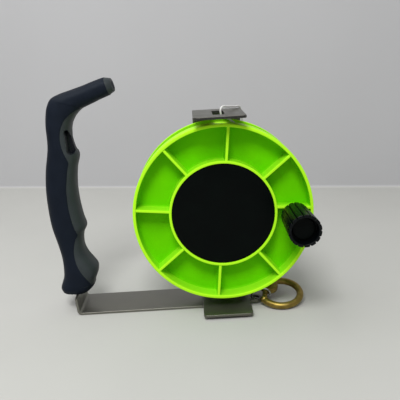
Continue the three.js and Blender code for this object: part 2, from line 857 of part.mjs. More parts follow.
function stripProfile() {
  const shape = new THREE.Shape();
  const top = topTabHeight;
  const bottom = -bottomTabDepth;
  const bendY = backFace - frameBend;
  const inner = frameBend - stripThickness;
  shape.moveTo(topTabFront, top);
  shape.lineTo(bendY, top);
  shape.absarc(bendY, top - frameBend, frameBend, Math.PI / 2, 0, true);
  shape.lineTo(backFace, bottom + frameBend);
  shape.absarc(bendY, bottom + frameBend, frameBend, 0, -Math.PI / 2, true);
  shape.lineTo(bottomTabFront, bottom);
  shape.lineTo(bottomTabFront, bottom + stripThickness);
  shape.lineTo(bendY, bottom + stripThickness);
  shape.absarc(bendY, bottom + frameBend, inner, -Math.PI / 2, 0, false);
  shape.lineTo(plateFront, top - frameBend);
  shape.absarc(bendY, top - frameBend, inner, 0, Math.PI / 2, false);
  shape.lineTo(topTabFront, top - stripThickness);
  shape.closePath();
  return shape;
}

// The waste at a tab's front corner: the corner's square less a quarter disc.
function cornerWaste(side, front, low, high) {
  const x = side * (tabRight - tabCornerRadius);
  const y = front + tabCornerRadius;
  const square = block(
    Math.min(x, side * (tabRight + overrun)),
    Math.max(x, side * (tabRight + overrun)),
    front - overrun,
    y,
    low,
    high,
  );
  const disc = rod(tabCornerRadius, low - overrun, high + overrun).rotate([90, 0, 0]);
  return square.subtract(at(disc, x, y, 0));
}

function roundedSlot(width, from, to, corner) {
  const x = width / 2;
  const shape = new THREE.Shape();
  shape.moveTo(-x + corner, from);
  shape.lineTo(x - corner, from);
  shape.absarc(x - corner, from + corner, corner, -Math.PI / 2, 0, false);
  shape.lineTo(x, to - corner);
  shape.absarc(x - corner, to - corner, corner, 0, Math.PI / 2, false);
  shape.lineTo(-x + corner, to);
  shape.absarc(-x + corner, to - corner, corner, Math.PI / 2, Math.PI, false);
  shape.lineTo(-x, from + corner);
  shape.absarc(-x + corner, from + corner, corner, Math.PI, 1.5 * Math.PI, false);
  return shape;
}

const frameScrewPlaces = [-frameScrewSpacing / 2, frameScrewSpacing / 2];

function makeBracket() {
  const strip = alongX(stripProfile(), -tabRight, tabRight);
  const topLow = topTabHeight - stripThickness - overrun;
  const topHigh = topTabHeight + overrun;
  const tabLow = -bottomTabDepth - overrun;
  const tabHigh = bottomTabTop + overrun;
  const slot = alongZ(roundedSlot(guideSlotWidth, guideSlotFront, guideSlotBack, guideSlotCorner), topLow, topHigh);
  const corners = [-1, 1].flatMap((side) => [
    cornerWaste(side, topTabFront, topLow, topHigh),
    cornerWaste(side, bottomTabFront, tabLow, tabHigh),
  ]);
  const lugX = tabRight + lugReach;
  const upright = (radius, low, high) => rod(radius, low, high).rotate([90, 0, 0]);
  const lugDisc = at(upright(lugRadius, -bottomTabDepth, bottomTabTop), lugX, lugBack, 0);
  const lugArm = block(
    tabRight - overrun,
    lugX,
    lugBack - lugRadius,
    lugBack + lugRadius,
    -bottomTabDepth,
    bottomTabTop,
  );
  const lugHole = at(upright(lugHoleRadius, tabLow, tabHigh), lugX, lugBack, 0);
  const axleHole = rod(axleRadius + seatGap, plateFront - overrun, backFace + overrun);
  const bushHole = rod(selectorBushRadius + seatGap, plateFront - overrun, backFace + overrun);
  const screwHoles = frameScrewPlaces.map((x) => {
    return at(upright(frameScrewRadius + seatGap, tabLow, tabHigh), x, frameScrewBack, 0);
  });
  return cut(
    joined(strip, lugDisc, lugArm),
    slot,
    ...corners,
    lugHole,
    axleHole,
    at(bushHole, 0, 0, selectorHeight),
    ...screwHoles,
  );
}

// The bar's side view: flat along the ground, bent up at the corner, then leaning out into the handle.
function makeHandleBar() {
  const lean = radians(tangLean);
  const up = new THREE.Vector2(-Math.sin(lean), Math.cos(lean));
  const out = Math.PI + lean;
  const low = standHeight;
  const bendX = barCorner + barBend / Math.tan((Math.PI / 2 + lean) / 2);
  const bendZ = low + barBend;
  const inner = barBend - stripThickness;
  const outFoot = new THREE.Vector2(bendX + barBend * Math.cos(out), bendZ + barBend * Math.sin(out));
  const inFoot = new THREE.Vector2(bendX + inner * Math.cos(out), bendZ + inner * Math.sin(out));
  const outTop = outFoot.clone().addScaledVector(up, tangLength);
  const inTop = inFoot.clone().addScaledVector(up, tangLength);
  const shape = new THREE.Shape();
  shape.moveTo(barRight, low);
  shape.lineTo(bendX, low);
  shape.absarc(bendX, bendZ, barBend, 1.5 * Math.PI, out, true);
  shape.lineTo(outTop.x, outTop.y);
  shape.lineTo(inTop.x, inTop.y);
  shape.lineTo(inFoot.x, inFoot.y);
  shape.absarc(bendX, bendZ, inner, out, 1.5 * Math.PI, false);
  shape.lineTo(barRight, low + stripThickness);
  shape.closePath();
  const barBack = barFront + stripWidth;
  const bar = alongY(shape, barFront, barBack);
  const shoulderZ = bendZ + tangShoulder;
  const topZ = outTop.y + overrun;
  const reachX = barCorner - tangLength;
  const narrowed = [
    block(reachX, bendX, barFront - overrun, handleMiddle - tangWidth / 2, shoulderZ, topZ),
    block(reachX, bendX, handleMiddle + tangWidth / 2, barBack + overrun, shoulderZ, topZ),
  ];
  const holes = frameScrewPlaces.flatMap((x) => [at(countersink(seatGap), x, frameScrewBack, 0)]);
  return cut(bar, ...narrowed, ...holes);
}

// The space of a countersunk screw that comes up through the bar, grown by a clearance all round.
function countersink(clearance) {
  const headBottom = standHeight - clearance;
  const profile = [
    [0, headBottom],
    [frameScrewHeadRadius + clearance, headBottom],
    [frameScrewRadius + clearance, barTop - seatGap + clearance],
    [frameScrewRadius + clearance, barTop + overrun],
    [0, barTop + overrun],
  ];
  return turned(profile, smallFacets).rotate([90, 0, 0]);
}

function makeFrameScrew() {
  const tip = bottomTabTop + seatGap + frameNutHeight + frameScrewPastNut;
  const profile = [
    [0, standHeight + seatGap],
    [frameScrewHeadRadius - seatGap, standHeight + seatGap],
    [frameScrewRadius, barTop - seatGap],
    [frameScrewRadius, tip],
    [0, tip],
  ];
  return turned(profile, smallFacets).rotate([90, 0, 0]);
}

// Handle

function handlePoint(share) {
  return [handleBack + share[0] * handleWidth, handleBase + share[1] * handleHeight];
}

// The handle's full form, or a slimmer one inside it: a rounded box section at each row, or every few rows, of the
// table.
function handleForm(widthShare, thicknessShare, rowStep = 1) {
  const rows = handleSectionShares.filter((_, i) => i % rowStep === 0);
  const rings = rows.map(([backX, backZ, fingerX, fingerZ, thick]) => {
    const [x0, z0] = handlePoint([backX, backZ]);
    const [x1, z1] = handlePoint([fingerX, fingerZ]);
    const halfX = ((x1 - x0) / 2) * widthShare;
    const halfZ = ((z1 - z0) / 2) * widthShare;
    const halfY = (handleThickness / 2) * thick * thicknessShare;
    return Array.from({ length: handleSides }, (_, j) => {
      const turn = (2 * Math.PI * (j + 0.5)) / handleSides;
      const round = (value) => Math.sign(value) * Math.abs(value) ** (2 / handleSquareness);
      const across = round(Math.cos(turn));
      const aside = round(Math.sin(turn));
      return new THREE.Vector3(
        (x0 + x1) / 2 + halfX * across,
        handleMiddle + halfY * aside,
        (z0 + z1) / 2 + halfZ * across,
      );
    });
  });
  return solidFrom(skin(rings));
}

// The side view of all that the rubber covers.
function gripRegion() {
  const far = handleWidth / 2;
  const seam = seamShares.map(handlePoint);
  const tip = tipSeamShares.map(handlePoint);
  const points = [
    ...seam,
    [seam.at(-1)[0] + overrun * 2, handleBase - far],
    [handleBack - far, handleBase - far],
    [handleBack - far, handleBase + handleHeight + far],
    [tip[0][0], handleBase + handleHeight + far],
    ...tip,
    [tip[1][0], seam[0][1] - overrun],
    [seam[0][0] + overrun * 2, seam[0][1] + overrun],
  ];
  return alongY(outline(points), handleMiddle - handleThickness, handleMiddle + handleThickness);
}

function tangSlot() {
  const bar = makeHandleBar();
  const grown = [-1, 1].flatMap((x) => [-1, 1].map((y) => at(bar, x * runGap, y * runGap, runGap)));
  return joined(bar, ...grown);
}

function makeRecess(side) {
  const [x0, z0] = handlePoint(recessTopShares);
  const [x1, z1] = handlePoint(recessBottomShares);
  const run = new THREE.Vector2(x1 - x0, z1 - z0);
  const turn = run.angle();
  const half = recessWidth / 2;
  const shape = new THREE.Shape();
  shape.absarc(x0, z0, half * 0.8, turn + Math.PI / 2, turn + 1.5 * Math.PI, false);
  shape.absarc(x1, z1, half, turn - Math.PI / 2, turn + Math.PI / 2, false);
  shape.closePath();
  const inner = side * (handleThickness / 2 - recessDepth);
  const outer = side * handleThickness;
  return alongY(shape, handleMiddle + Math.min(inner, outer), handleMiddle + Math.max(inner, outer));
}

function tangPin(height, clearance) {
  const x = barCorner - Math.tan(radians(tangLean)) * (height - standHeight) + pinOffset;
  const half = pinLength / 2 + clearance;
  const pin = rod(pinRadius + clearance, -half, half, smallFacets).rotate([0, 0, 90]);
  return at(pin, x, handleMiddle, height);
}

function makeHandle() {
  const full = handleForm(1, 1);
  const spine = handleForm(spineWidthShare, spineThicknessShare, spineRowStep);
  const clearWidthShare = spineWidthShare + spineClearShare;
  const clearThicknessShare = spineThicknessShare + spineClearShare;
  const spineSpace = handleForm(clearWidthShare, clearThicknessShare, spineRowStep);
  const heights = [lowerPinHeight, upperPinHeight];
  const pinHoles = heights.map((height) => tangPin(height, seatGap));
  const tang = tangSlot();
  const region = gripRegion();
  const seam = [at(region, gripSeam, 0, 0), at(region, 0, 0, -gripSeam), at(region, gripSeam, 0, -gripSeam)];
  const panels = cut(full, region, ...seam);
  const recesses = [-1, 1].map(makeRecess);
  const core = cut(joined(panels, spine), tang, ...recesses, ...pinHoles);
  const grip = cut(full.intersect(region), spineSpace, tang);
  piece(frame, 'handle_core', core, greyPlastic);
  piece(frame, 'handle_grip', grip, blackRubber);
  heights.forEach((height, i) => {
    piece(frame, ['tang_pin_lower', 'tang_pin_upper'][i], tangPin(height, 0), brightSteel);
  });
}

function makeFrame() {
  piece(frame, 'frame_bracket', makeBracket(), steel);
  const pinHoles = [lowerPinHeight, upperPinHeight].map((height) => tangPin(height, seatGap));
  piece(frame, 'handle_bar', cut(makeHandleBar(), ...pinHoles), steel);
  frameScrewPlaces.forEach((x, i) => {
    piece(frame, `frame_screw_${i + 1}`, makeFrameScrew(), brightSteel, [x, frameScrewBack, 0]);
    const nutLow = bottomTabTop + seatGap;
    const nut = hexNut(frameNutRadius, frameScrewRadius + seatGap, nutLow, nutLow + frameNutHeight);
    piece(frame, `frame_nut_${i + 1}`, nut.rotate([90, 0, 0]), brightSteel, [x, frameScrewBack, 0]);
  });
  const washerBack = backFace + seatGap + axleWasherThickness;
  const headFront = washerBack + seatGap;
  const nutBack = floorFront - frontBossHeight - bushFlangeThickness - 2 * seatGap - runGap - axleWasherThickness;
  const nutFront = nutBack - axleNutHeight;
  const bolt = joined(
    rod(axleRadius, nutFront - axleThreadPastNut, headFront + axleHeadHeight / 2),
    rod(axleHeadRadius, headFront, headFront + axleHeadHeight, 6),
  );
  piece(frame, 'axle_bolt', bolt, brightSteel);
  const boltHole = axleRadius + seatGap;
  const washer = ring(axleWasherRadius, boltHole, backFace + seatGap, washerBack);
  piece(frame, 'axle_rear_washer', washer, brightSteel);
  const spacerFront = spoolBack + seatGap + bushFlangeThickness + runGap;
  piece(frame, 'axle_spacer', ring(spacerRadius, boltHole, spacerFront, plateFront - seatGap), acetal);
  const frontWasher = ring(axleWasherRadius, boltHole, nutBack + seatGap, nutBack + seatGap + axleWasherThickness);
  piece(frame, 'axle_front_washer', frontWasher, brightSteel);
  piece(frame, 'axle_nut', hexNut(axleHeadRadius, boltHole, nutFront, nutBack), brightSteel);
  const bushFlangeFront = backFace + seatGap;
  const selectorBush = joined(
    ring(selectorBushRadius, selectorShaftRadius + runGap, plateFront, bushFlangeFront + selectorBushFlangeThickness),
    ring(
      selectorBushFlange,
      selectorShaftRadius + runGap,
      bushFlangeFront,
      bushFlangeFront + selectorBushFlangeThickness,
    ),
  );
  piece(frame, 'selector_bush', selectorBush, brass, [0, 0, selectorHeight]);
}

// Ratchet pawl and selector, both turning on one shaft through the frame

const ratchetFront = spoolBack + seatGap;
const shaftFront = ratchetFront + seatGap;
const pawlFront = shaftFront + selectorHeadThickness + runGap;
const pawlBack = pawlFront + pawlThickness;
const leverFront = backFace + seatGap + selectorBushFlangeThickness + runGap;
const leverBack = leverFront + leverThickness;
const selectorNutFront = leverBack + seatGap;

function makePawl() {
  const hub = rod(pawlHubRadius, pawlFront, pawlBack);
  const root = pawlRootWidth / 2;
  const tip = pawlTipWidth / 2;
  const shoulder = pawlReach - pawlTipWidth;
  const arm = alongY(
    outline([
      [0, -root],
      [shoulder, -tip * 1.6],
      [pawlReach, -tip],
      [pawlReach, tip],
      [shoulder, tip * 1.6],
      [0, root],
    ]),
    pawlFront,
    pawlBack,
  ).rotate([0, -pawlAngle, 0]);
  const bore = rod(selectorShaftRadius + runGap, pawlFront - overrun, pawlBack + overrun);
  return cut(joined(hub, arm), bore);
}

function makeLever() {
  const endX = -leverReach;
  const endZ = -leverDrop;
  const length = Math.hypot(endX, endZ);
  const hub = rod(leverHubRadius, leverFront, leverBack);
  const end = at(rod(leverEndRadius, leverFront, leverBack), length, 0, 0);
  const arm = alongY(
    outline([
      [0, -leverHubRadius],
      [length, -leverEndRadius],
      [length, leverEndRadius],
      [0, leverHubRadius],
    ]),
    leverFront,
    leverBack,
  );
  const pinHole = at(rod(leverPinRadius + seatGap, leverFront - overrun, leverBack + overrun), length, 0, 0);
  const shaftHole = rod(selectorShaftRadius + seatGap, leverFront - overrun, leverBack + overrun);
  const turn = THREE.MathUtils.radToDeg(Math.atan2(endZ, endX));
  return cut(joined(hub, end, arm), pinHole, shaftHole).rotate([0, -turn, 0]);
}

function makeSelector() {
  selector.position.set(0, 0, selectorHeight);
  pawlGroup.position.set(0, 0, selectorHeight);
  const shaft = turned([
    [0, shaftFront],
    [selectorHeadRadius, shaftFront],
    [selectorHeadRadius, shaftFront + selectorHeadThickness],
    [selectorShaftRadius, shaftFront + selectorHeadThickness],
    [selectorShaftRadius, selectorNutFront + selectorNutHeight + seatGap],
    [0, selectorNutFront + selectorNutHeight + seatGap],
  ]);
  piece(selector, 'selector_shaft', shaft, brightSteel);
  piece(selector, 'selector_lever', makeLever(), brightSteel);
  const nutBore = selectorShaftRadius + seatGap;
  const nutBack = selectorNutFront + selectorNutHeight;
  const nut = hexNut(selectorNutRadius, nutBore, selectorNutFront, nutBack);
  piece(selector, 'selector_nut', nut, brightSteel);
  const knobFrontY = leverBack + seatGap;
  const knobBackY = knobFrontY + leverKnobHeight;
  const knob = turned([
    [leverPinRadius + seatGap, knobFrontY],
    [leverKnobRadius * 0.8, knobFrontY],
    [leverKnobRadius, knobFrontY + leverKnobHeight * 0.35],
    [leverKnobRadius, knobFrontY + leverKnobHeight * 0.7],
    [leverKnobRadius * 0.7, knobBackY],
    [leverPinRadius + seatGap, knobBackY],
  ]);
  piece(selector, 'selector_knob', knob, blackPlastic, [-leverReach, 0, -leverDrop]);
  const rivetHead = leverPinRadius * 1.7;
  const rivetFront = leverFront - seatGap;
  const rivet = turned(
    [
      [0, rivetFront - seatGap],
      [leverPinRadius, rivetFront - seatGap],
      [leverPinRadius, knobBackY + seatGap],
      [rivetHead, knobBackY + seatGap],
      [leverPinRadius, knobBackY + leverPinRadius / 2],
      [0, knobBackY + leverPinRadius / 2],
    ],
    smallFacets,
  );
  piece(selector, 'selector_rivet', rivet, brightSteel, [-leverReach, 0, -leverDrop]);
  piece(pawlGroup, 'pawl', makePawl(), brightSteel);
  const springPoints = helix({
    radius: springRadius,
    wire: springWireRadius,
    turns: springCurls,
    from: pawlBack + seatGap + springWireRadius,
    to: plateFront - seatGap - springWireRadius,
    endTurn: 0,
    steps: curlSteps,
  });
  console.log('least gap of the pawl spring, mm:', leastGap(springPoints, springWireRadius, curlSteps).toFixed(3));
  piece(pawlGroup, 'pawl_spring', tube(springPoints, springWireRadius, curlSides), brightSteel);
}

// Link ring and snap. The snap is drawn with its plunger along +Y from the tip of the hook, lying flat in X and Y.

function makeLink() {
  link.position.set(tabRight + linkFromTab, lugBack - linkForward, standHeight + linkRise);
  link.rotation.set(radians(linkTilt), 0, 0);
  const wire = new THREE.TorusGeometry(linkRadius, linkWireRadius, 8, shaftFacets);
  piece(link, 'link_ring', solidFrom(wire), brightSteel);
}

function hookMiddle() {
  const turn = radians(hookTipAngle);
  return new THREE.Vector3(-hookRadius * Math.cos(turn), -hookRadius * Math.sin(turn), 0);
}

function makeHookBody() {
  const middle = hookMiddle();
  const steps = 26;
  const arc = Array.from({ length: steps + 1 }, (_, i) => {
    const turn = radians(hookTipAngle + (hookSweep * i) / steps);
    return new THREE.Vector3(hookRadius * Math.cos(turn), hookRadius * Math.sin(turn), 0).add(middle);
  });
  const hook = tube(arc, hookWireRadius, 10);
  const nose = solidFrom(new THREE.SphereGeometry(hookNoseRadius, 12, 8));
  const root = rod(hookRootRadius, -hookRootThickness / 2, hookRootThickness / 2).rotate([90, 0, 0]);
  const barrel = turned([
    [0, barrelStart],
    [barrelCollarRadius, barrelStart],
    [barrelCollarRadius, barrelStart + barrelCollarLength],
    [barrelRadius, barrelStart + barrelCollarLength + barrelCollarSlope],
    [barrelRadius, barrelEnd - barrelCollarLength - barrelCollarSlope],
    [barrelCollarRadius, barrelEnd - barrelCollarLength],
    [barrelCollarRadius - barrelEndBevel, barrelEnd],
    [0, barrelEnd],
  ]);
  const bore = rod(plungerRadius + turnedGap, hookNoseRadius, boreEnd, smallFacets);
  const wallFront = barrelEnd - swivelWall;
  const pocketFront = wallFront - swivelHeadThickness - 2 * turnedGap;
  const pocket = rod(swivelHeadRadius + turnedGap, pocketFront, wallFront, smallFacets);
  const stemHole = rod(swivelStemRadius + turnedGap, wallFront - overrun, barrelEnd + overrun, smallFacets);
  const slotHalf = studRadius + turnedGap;
  const slot = block(
    0,
    barrelCollarRadius + overrun,
    studBack - slotHalf,
    studBack + plungerTravel + slotHalf,
    -slotHalf,
    slotHalf,
  );
  const body = joined(hook, nose, at(root, hookRootAside, hookRootBack, 0), barrel);
  return cut(body, bore, pocket, stemHole, slot);
}

function makePlunger() {
  const tip = hookNoseRadius + turnedGap;
  const bolt = turned(
    [
      [0, tip],
      [plungerRadius - plungerBevel, tip],
      [plungerRadius, tip + plungerBevel],
      [plungerRadius, plungerEnd],
      [0, plungerEnd],
    ],
    smallFacets,
  );
  piece(snap, 'snap_plunger', bolt, brass);
  const studStart = plungerRadius + turnedGap;
  const stud = turned(
    [
      [0, studStart],
      [studRadius, studStart],
      [studRadius, studHeight - studHeadThickness],
      [studHeadRadius, studHeight - studHeadThickness],
      [studHeadRadius * 0.8, studHeight],
      [0, studHeight],
    ],
    smallFacets,
  ).rotate([0, 0, -90]);
  piece(snap, 'snap_thumb_stud', stud, brass, [0, studBack, 0]);
}

function makeSwivelEye() {
  const eyeMiddle = barrelEnd + 2 * turnedGap + eyeRadius + eyeWireRadius;
  const eye = solidFrom(new THREE.TorusGeometry(eyeRadius, eyeWireRadius, 8, 28));
  const wallFront = barrelEnd - swivelWall;
  const headBack = wallFront - turnedGap;
  const stem = turned(
    [
      [0, headBack - swivelHeadThickness],
      [swivelHeadRadius, headBack - swivelHeadThickness],
      [swivelHeadRadius, headBack],
      [swivelStemRadius, headBack],
      [swivelStemRadius, eyeMiddle - eyeRadius],
      [0, eyeMiddle - eyeRadius],
    ],
    smallFacets,
  );
  piece(snap, 'snap_swivel_eye', joined(at(eye, 0, eyeMiddle, 0), stem), brass);
  const loop = solidFrom(new THREE.TorusGeometry(knotLoopRadius, lineRadius, 6, 16).rotateY(Math.PI / 2));
  const knot = solidFrom(new THREE.SphereGeometry(knotRadius, 12, 8));
  const knotted = joined(loop, at(knot, 0, 0, eyeWireRadius + seatGap + knotRadius));
  piece(snap, 'line_end_knot', knotted, lineWhite, [0, eyeMiddle + eyeRadius, 0]);
}

function makeSnap() {
  snap.position.set(tabRight + hookTipFromTab, hookTipBack, standHeight + hookTipRise);
  snap.rotation.set(radians(hookTilt), 0, radians(hookYaw));
  piece(snap, 'snap_hook_body', makeHookBody(), brass);
  makePlunger();
  const springPoints = helix({
    radius: plungerSpringRadius,
    wire: springWireRadius,
    turns: plungerSpringCurls,
    from: plungerEnd + turnedGap + springWireRadius,
    to: plungerEnd + plungerSpringLength - springWireRadius,
    endTurn: 0,
    steps: curlSteps,
  });
  console.log('least gap of the plunger spring, mm:', leastGap(springPoints, springWireRadius, curlSteps).toFixed(3));
  piece(snap, 'plunger_spring', tube(springPoints, springWireRadius, curlSides), brightSteel);
  makeSwivelEye();
}

// Free line

function leadRoute() {
  const top = leadTopPlaces.map(([x, y, z]) => new THREE.Vector3(x, y, spoolRadius + z));
  const start = top.at(-1);
  const end = new THREE.Vector3(...leadEndFromHook).add(snap.position);
  return [...top, ...leadRunShares.map((share) => start.clone().lerp(end, share))];
}

function makeLead() {
  const path = new THREE.CatmullRomCurve3(leadRoute(), false, 'centripetal');
  const section = outline(
    Array.from({ length: leadSides }, (_, i) => {
      const turn = (2 * Math.PI * i) / leadSides;
      return [lineRadius * Math.cos(turn), lineRadius * Math.sin(turn)];
    }),
  );
  const geometry = new THREE.ExtrudeGeometry(section, { steps: leadSteps, extrudePath: path, bevelEnabled: false });
  console.log('length of free line, mm:', path.getLength().toFixed(1));
  piece(reel, 'line_lead', solidFrom(geometry), lineWhite);
}

makeSpool();
makeCrank();
makeFrame();
makeHandle();
makeSelector();
makeLink();
makeSnap();
makeLead();

// The origin goes under the middle of the reel, measured without the free line.
const reach = new THREE.Box3();
reel.updateMatrixWorld(true);
reel.traverse((node) => {
  if (node.isMesh && node.name !== 'line_lead') reach.expandByObject(node, true);
});
const middle = reach.getCenter(new THREE.Vector3());
reel.position.set(-middle.x, -middle.y, -reach.min.z);
console.log('spool axis at the front rim, mm:', reel.position.toArray().map((value) => value.toFixed(4)).join(' '));

export default reel;
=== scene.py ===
import bpy
import numpy as np
from mathutils import Matrix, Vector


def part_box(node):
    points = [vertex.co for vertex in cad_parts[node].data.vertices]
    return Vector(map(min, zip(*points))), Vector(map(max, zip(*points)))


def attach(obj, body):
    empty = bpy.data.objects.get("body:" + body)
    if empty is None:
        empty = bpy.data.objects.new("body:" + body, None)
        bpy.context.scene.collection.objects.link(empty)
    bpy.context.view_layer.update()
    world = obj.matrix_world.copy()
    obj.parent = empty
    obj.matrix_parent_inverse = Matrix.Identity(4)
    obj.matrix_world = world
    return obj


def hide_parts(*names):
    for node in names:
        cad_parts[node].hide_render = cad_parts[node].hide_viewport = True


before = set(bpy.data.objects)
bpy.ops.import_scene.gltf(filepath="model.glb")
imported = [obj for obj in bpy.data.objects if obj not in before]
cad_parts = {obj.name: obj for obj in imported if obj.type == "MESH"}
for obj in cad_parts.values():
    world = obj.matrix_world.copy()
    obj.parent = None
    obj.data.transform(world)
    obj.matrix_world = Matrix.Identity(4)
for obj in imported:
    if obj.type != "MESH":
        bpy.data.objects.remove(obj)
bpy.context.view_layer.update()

# All shapes below are worked out in millimetres from the middle of the spool's front rim:
# x towards the crank knob, y towards the back plate, z up. toMetres puts them into the model's place.
mm = 0.001
lowCorner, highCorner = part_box("spool_front_flange")
reelOrigin = np.array([(lowCorner[0] + highCorner[0]) / 2, lowCorner[1], (lowCorner[2] + highCorner[2]) / 2])
standHeight = -reelOrigin[2] / mm  # height of the table under the bar
sharpAngle = 35.0  # degrees between two faces, past which their edge stays sharp


def toMetres(points):
    return np.asarray(points, float) * mm + reelOrigin


def toMillimetres(points):
    return (points - reelOrigin) / mm


# Each vector divided by its length.
def unit(vectors):
    return vectors / np.maximum(np.linalg.norm(vectors, axis=-1, keepdims=True), 1e-12)


# A grid of points becomes a skin: each cell is a four-sided face, and the last column joins the first. "along"
# joins the last row to the first too; without it both ends are closed by a fan to the middle of their ring.
def skin(grid, along=False):
    rows, columns = grid.shape[:2]
    number = np.arange(rows * columns).reshape(rows, columns)
    across = np.concatenate([number, number[:, :1]], axis=1)
    both = np.concatenate([across, across[:1]], axis=0) if along else across
    quads = np.stack([both[:-1, :-1], both[:-1, 1:], both[1:, 1:], both[1:, :-1]], axis=-1).reshape(-1, 4)
    points = grid.reshape(-1, 3)
    fans = [np.zeros((0, 3), int)]
    for ring in (() if along else (across[0], across[-1][::-1])):
        middle = len(points)
        points = np.vstack([points, points[ring[:-1]].mean(axis=0)])
        fans.append(np.stack([ring[1:], ring[:-1], np.full(len(ring) - 1, middle)], axis=-1))
    return outward(points, quads, np.concatenate(fans))


# The signed volume of a closed skin is the sum of a . (b x c) / 6 over its triangles; below zero the faces turn over.
def outward(points, quads, fans):
    triangles = np.concatenate([quads[:, [0, 1, 2]], quads[:, [0, 2, 3]], fans])
    a, b, c = (points[triangles[:, i]] for i in range(3))
    if np.einsum("ij,ij->", a, np.cross(b, c)) < 0:
        quads, fans = quads[:, ::-1], fans[:, ::-1]
    return points, quads, fans


# Several skins become one: each one's corner numbers go up by the number of points before it.
def joinSkins(skins):
    counts = np.cumsum([0] + [len(points) for points, _, _ in skins])
    points = np.vstack([s[0] for s in skins])
    quads = np.vstack([s[1] + counts[i] for i, s in enumerate(skins)])
    fans = np.vstack([s[2] + counts[i] for i, s in enumerate(skins)])
    return points, quads, fans


# Skins become one mesh: its corners, then its faces as runs of four and three corner numbers.
def makeMesh(name, skins):
    points, quads, fans = joinSkins(skins)
    mesh = bpy.data.meshes.new(name)
    mesh.vertices.add(len(points))
    mesh.vertices.foreach_set("co", toMetres(points).ravel())
    loops = np.concatenate([quads.ravel(), fans.ravel()])
    sizes = np.concatenate([np.full(len(quads), 4), np.full(len(fans), 3)])
    mesh.loops.add(len(loops))
    mesh.loops.foreach_set("vertex_index", loops.astype(np.int32))
    mesh.polygons.add(len(sizes))
    mesh.polygons.foreach_set("loop_start", np.concatenate([[0], np.cumsum(sizes)[:-1]]).astype(np.int32))
    mesh.update(calc_edges=True)
    mesh.validate()
    mesh.shade_smooth()
    mesh.set_sharp_from_angle(angle=np.radians(sharpAngle))
    return mesh


# One field of all points or faces, as rows of three numbers.
def readRows(items, field):
    values = np.empty(3 * len(items))
    items.foreach_get(field, values)
    return values.reshape(-1, 3)


# A share of painted light or shade for every point of a piece, worked out from its place and its normal, which its
# finish reads:
# 1 takes the finish's edge colour, a painted highlight or painted shade, 0 its own.
def addPaintedLightShare(piece, share):
    points = piece.data.vertices
    values = share(toMillimetres(readRows(points, "co")), readRows(points, "normal"))
    piece.data.attributes.new("edge", "FLOAT", "POINT").data.foreach_set("value", values)


def addObject(name, data):
    thing = bpy.data.objects.new(name, data)
    bpy.context.scene.collection.objects.link(thing)
    return thing


# A piece that moves with a CAD body and stands for the CAD solids named in nodes.
def makePiece(name, skins, body, material, nodes):
    piece = addObject(name, makeMesh(name, skins))
    piece.data.materials.append(material)
    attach(piece, body)
    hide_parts(*nodes)
    return piece


# The four corners of a rectangle, from the lower left one round.
def rectangle(left, right, low, high):
    return [(left, low), (right, low), (right, high), (left, high)]


# Every corner of an outline becomes a curve that starts and ends one radius before and after it:
# (1-s)^2 start + 2s(1-s) corner + s^2 end. An open outline keeps its first and last points.
def roundCorners(corners, radius, steps=5, closed=True):
    corners = np.asarray(corners, float)
    radii = np.broadcast_to(np.asarray(radius, float), (len(corners),))[:, None]
    start = corners + unit(np.roll(corners, 1, axis=0) - corners) * radii
    end = corners + unit(np.roll(corners, -1, axis=0) - corners) * radii
    s = np.linspace(0, 1, steps)[None, :, None]
    curve = (1 - s) ** 2 * start[:, None] + 2 * s * (1 - s) * corners[:, None] + s ** 2 * end[:, None]
    if closed:
        return curve.reshape(-1, 2)
    return np.vstack([corners[:1], curve[1:-1].reshape(-1, 2), corners[-1:]])


# A profile of (radius, y) points turned about the Y axis: x = r cos(turn), z = r sin(turn).
def turned(profile, centre=(0, 0, 0), steps=96, closed=True):
    profile = np.asarray(profile, float)
    turn = np.linspace(0, 2 * np.pi, steps, endpoint=False)
    grid = np.stack(np.broadcast_arrays(
        profile[:, :1] * np.cos(turn), profile[:, 1:] + 0 * turn, profile[:, :1] * np.sin(turn)), axis=-1)
    return skin(grid + np.asarray(centre, float), along=closed)


# A smooth curve through points, as equal steps of each Catmull-Rom span with centripetal knots.
def smoothPath(points, stepsPerSpan):
    points = np.asarray(points, float)
    ends = np.vstack([2 * points[0] - points[1], points, 2 * points[-1] - points[-2]])
    p0, p1, p2, p3 = ends[:-3, None], ends[1:-2, None], ends[2:-1, None], ends[3:, None]
    gap = lambda a, b: np.sqrt(np.linalg.norm(b - a, axis=-1, keepdims=True))
    t1 = gap(p0, p1)
    t2 = t1 + gap(p1, p2)
    t3 = t2 + gap(p2, p3)
    t = t1 + (t2 - t1) * np.linspace(0, 1, stepsPerSpan, endpoint=False)[None, :, None]
    a1 = (t1 - t) / t1 * p0 + t / t1 * p1
    a2 = (t2 - t) / (t2 - t1) * p1 + (t - t1) / (t2 - t1) * p2
    a3 = (t3 - t) / (t3 - t2) * p2 + (t - t2) / (t3 - t2) * p3
    b1 = (t2 - t) / t2 * a1 + t / t2 * a2
    b2 = (t3 - t) / (t3 - t1) * a2 + (t - t1) / (t3 - t1) * a3
    curve = (t2 - t) / (t2 - t1) * b1 + (t - t1) / (t2 - t1) * b2
    return np.vstack([curve.reshape(-1, 3), points[-1:]])


# Two directions square to a path and to each other. The first starts from a hint, and the run of the path is
# taken out of it at every point, which is enough for paths that never run along the hint.
def pathSides(path, hint):
    run = unit(np.gradient(path, axis=0))
    hint = np.broadcast_to(np.asarray(hint, float), path.shape)
    side = unit(hint - np.sum(hint * run, axis=1, keepdims=True) * run)
    return side, np.cross(run, side)


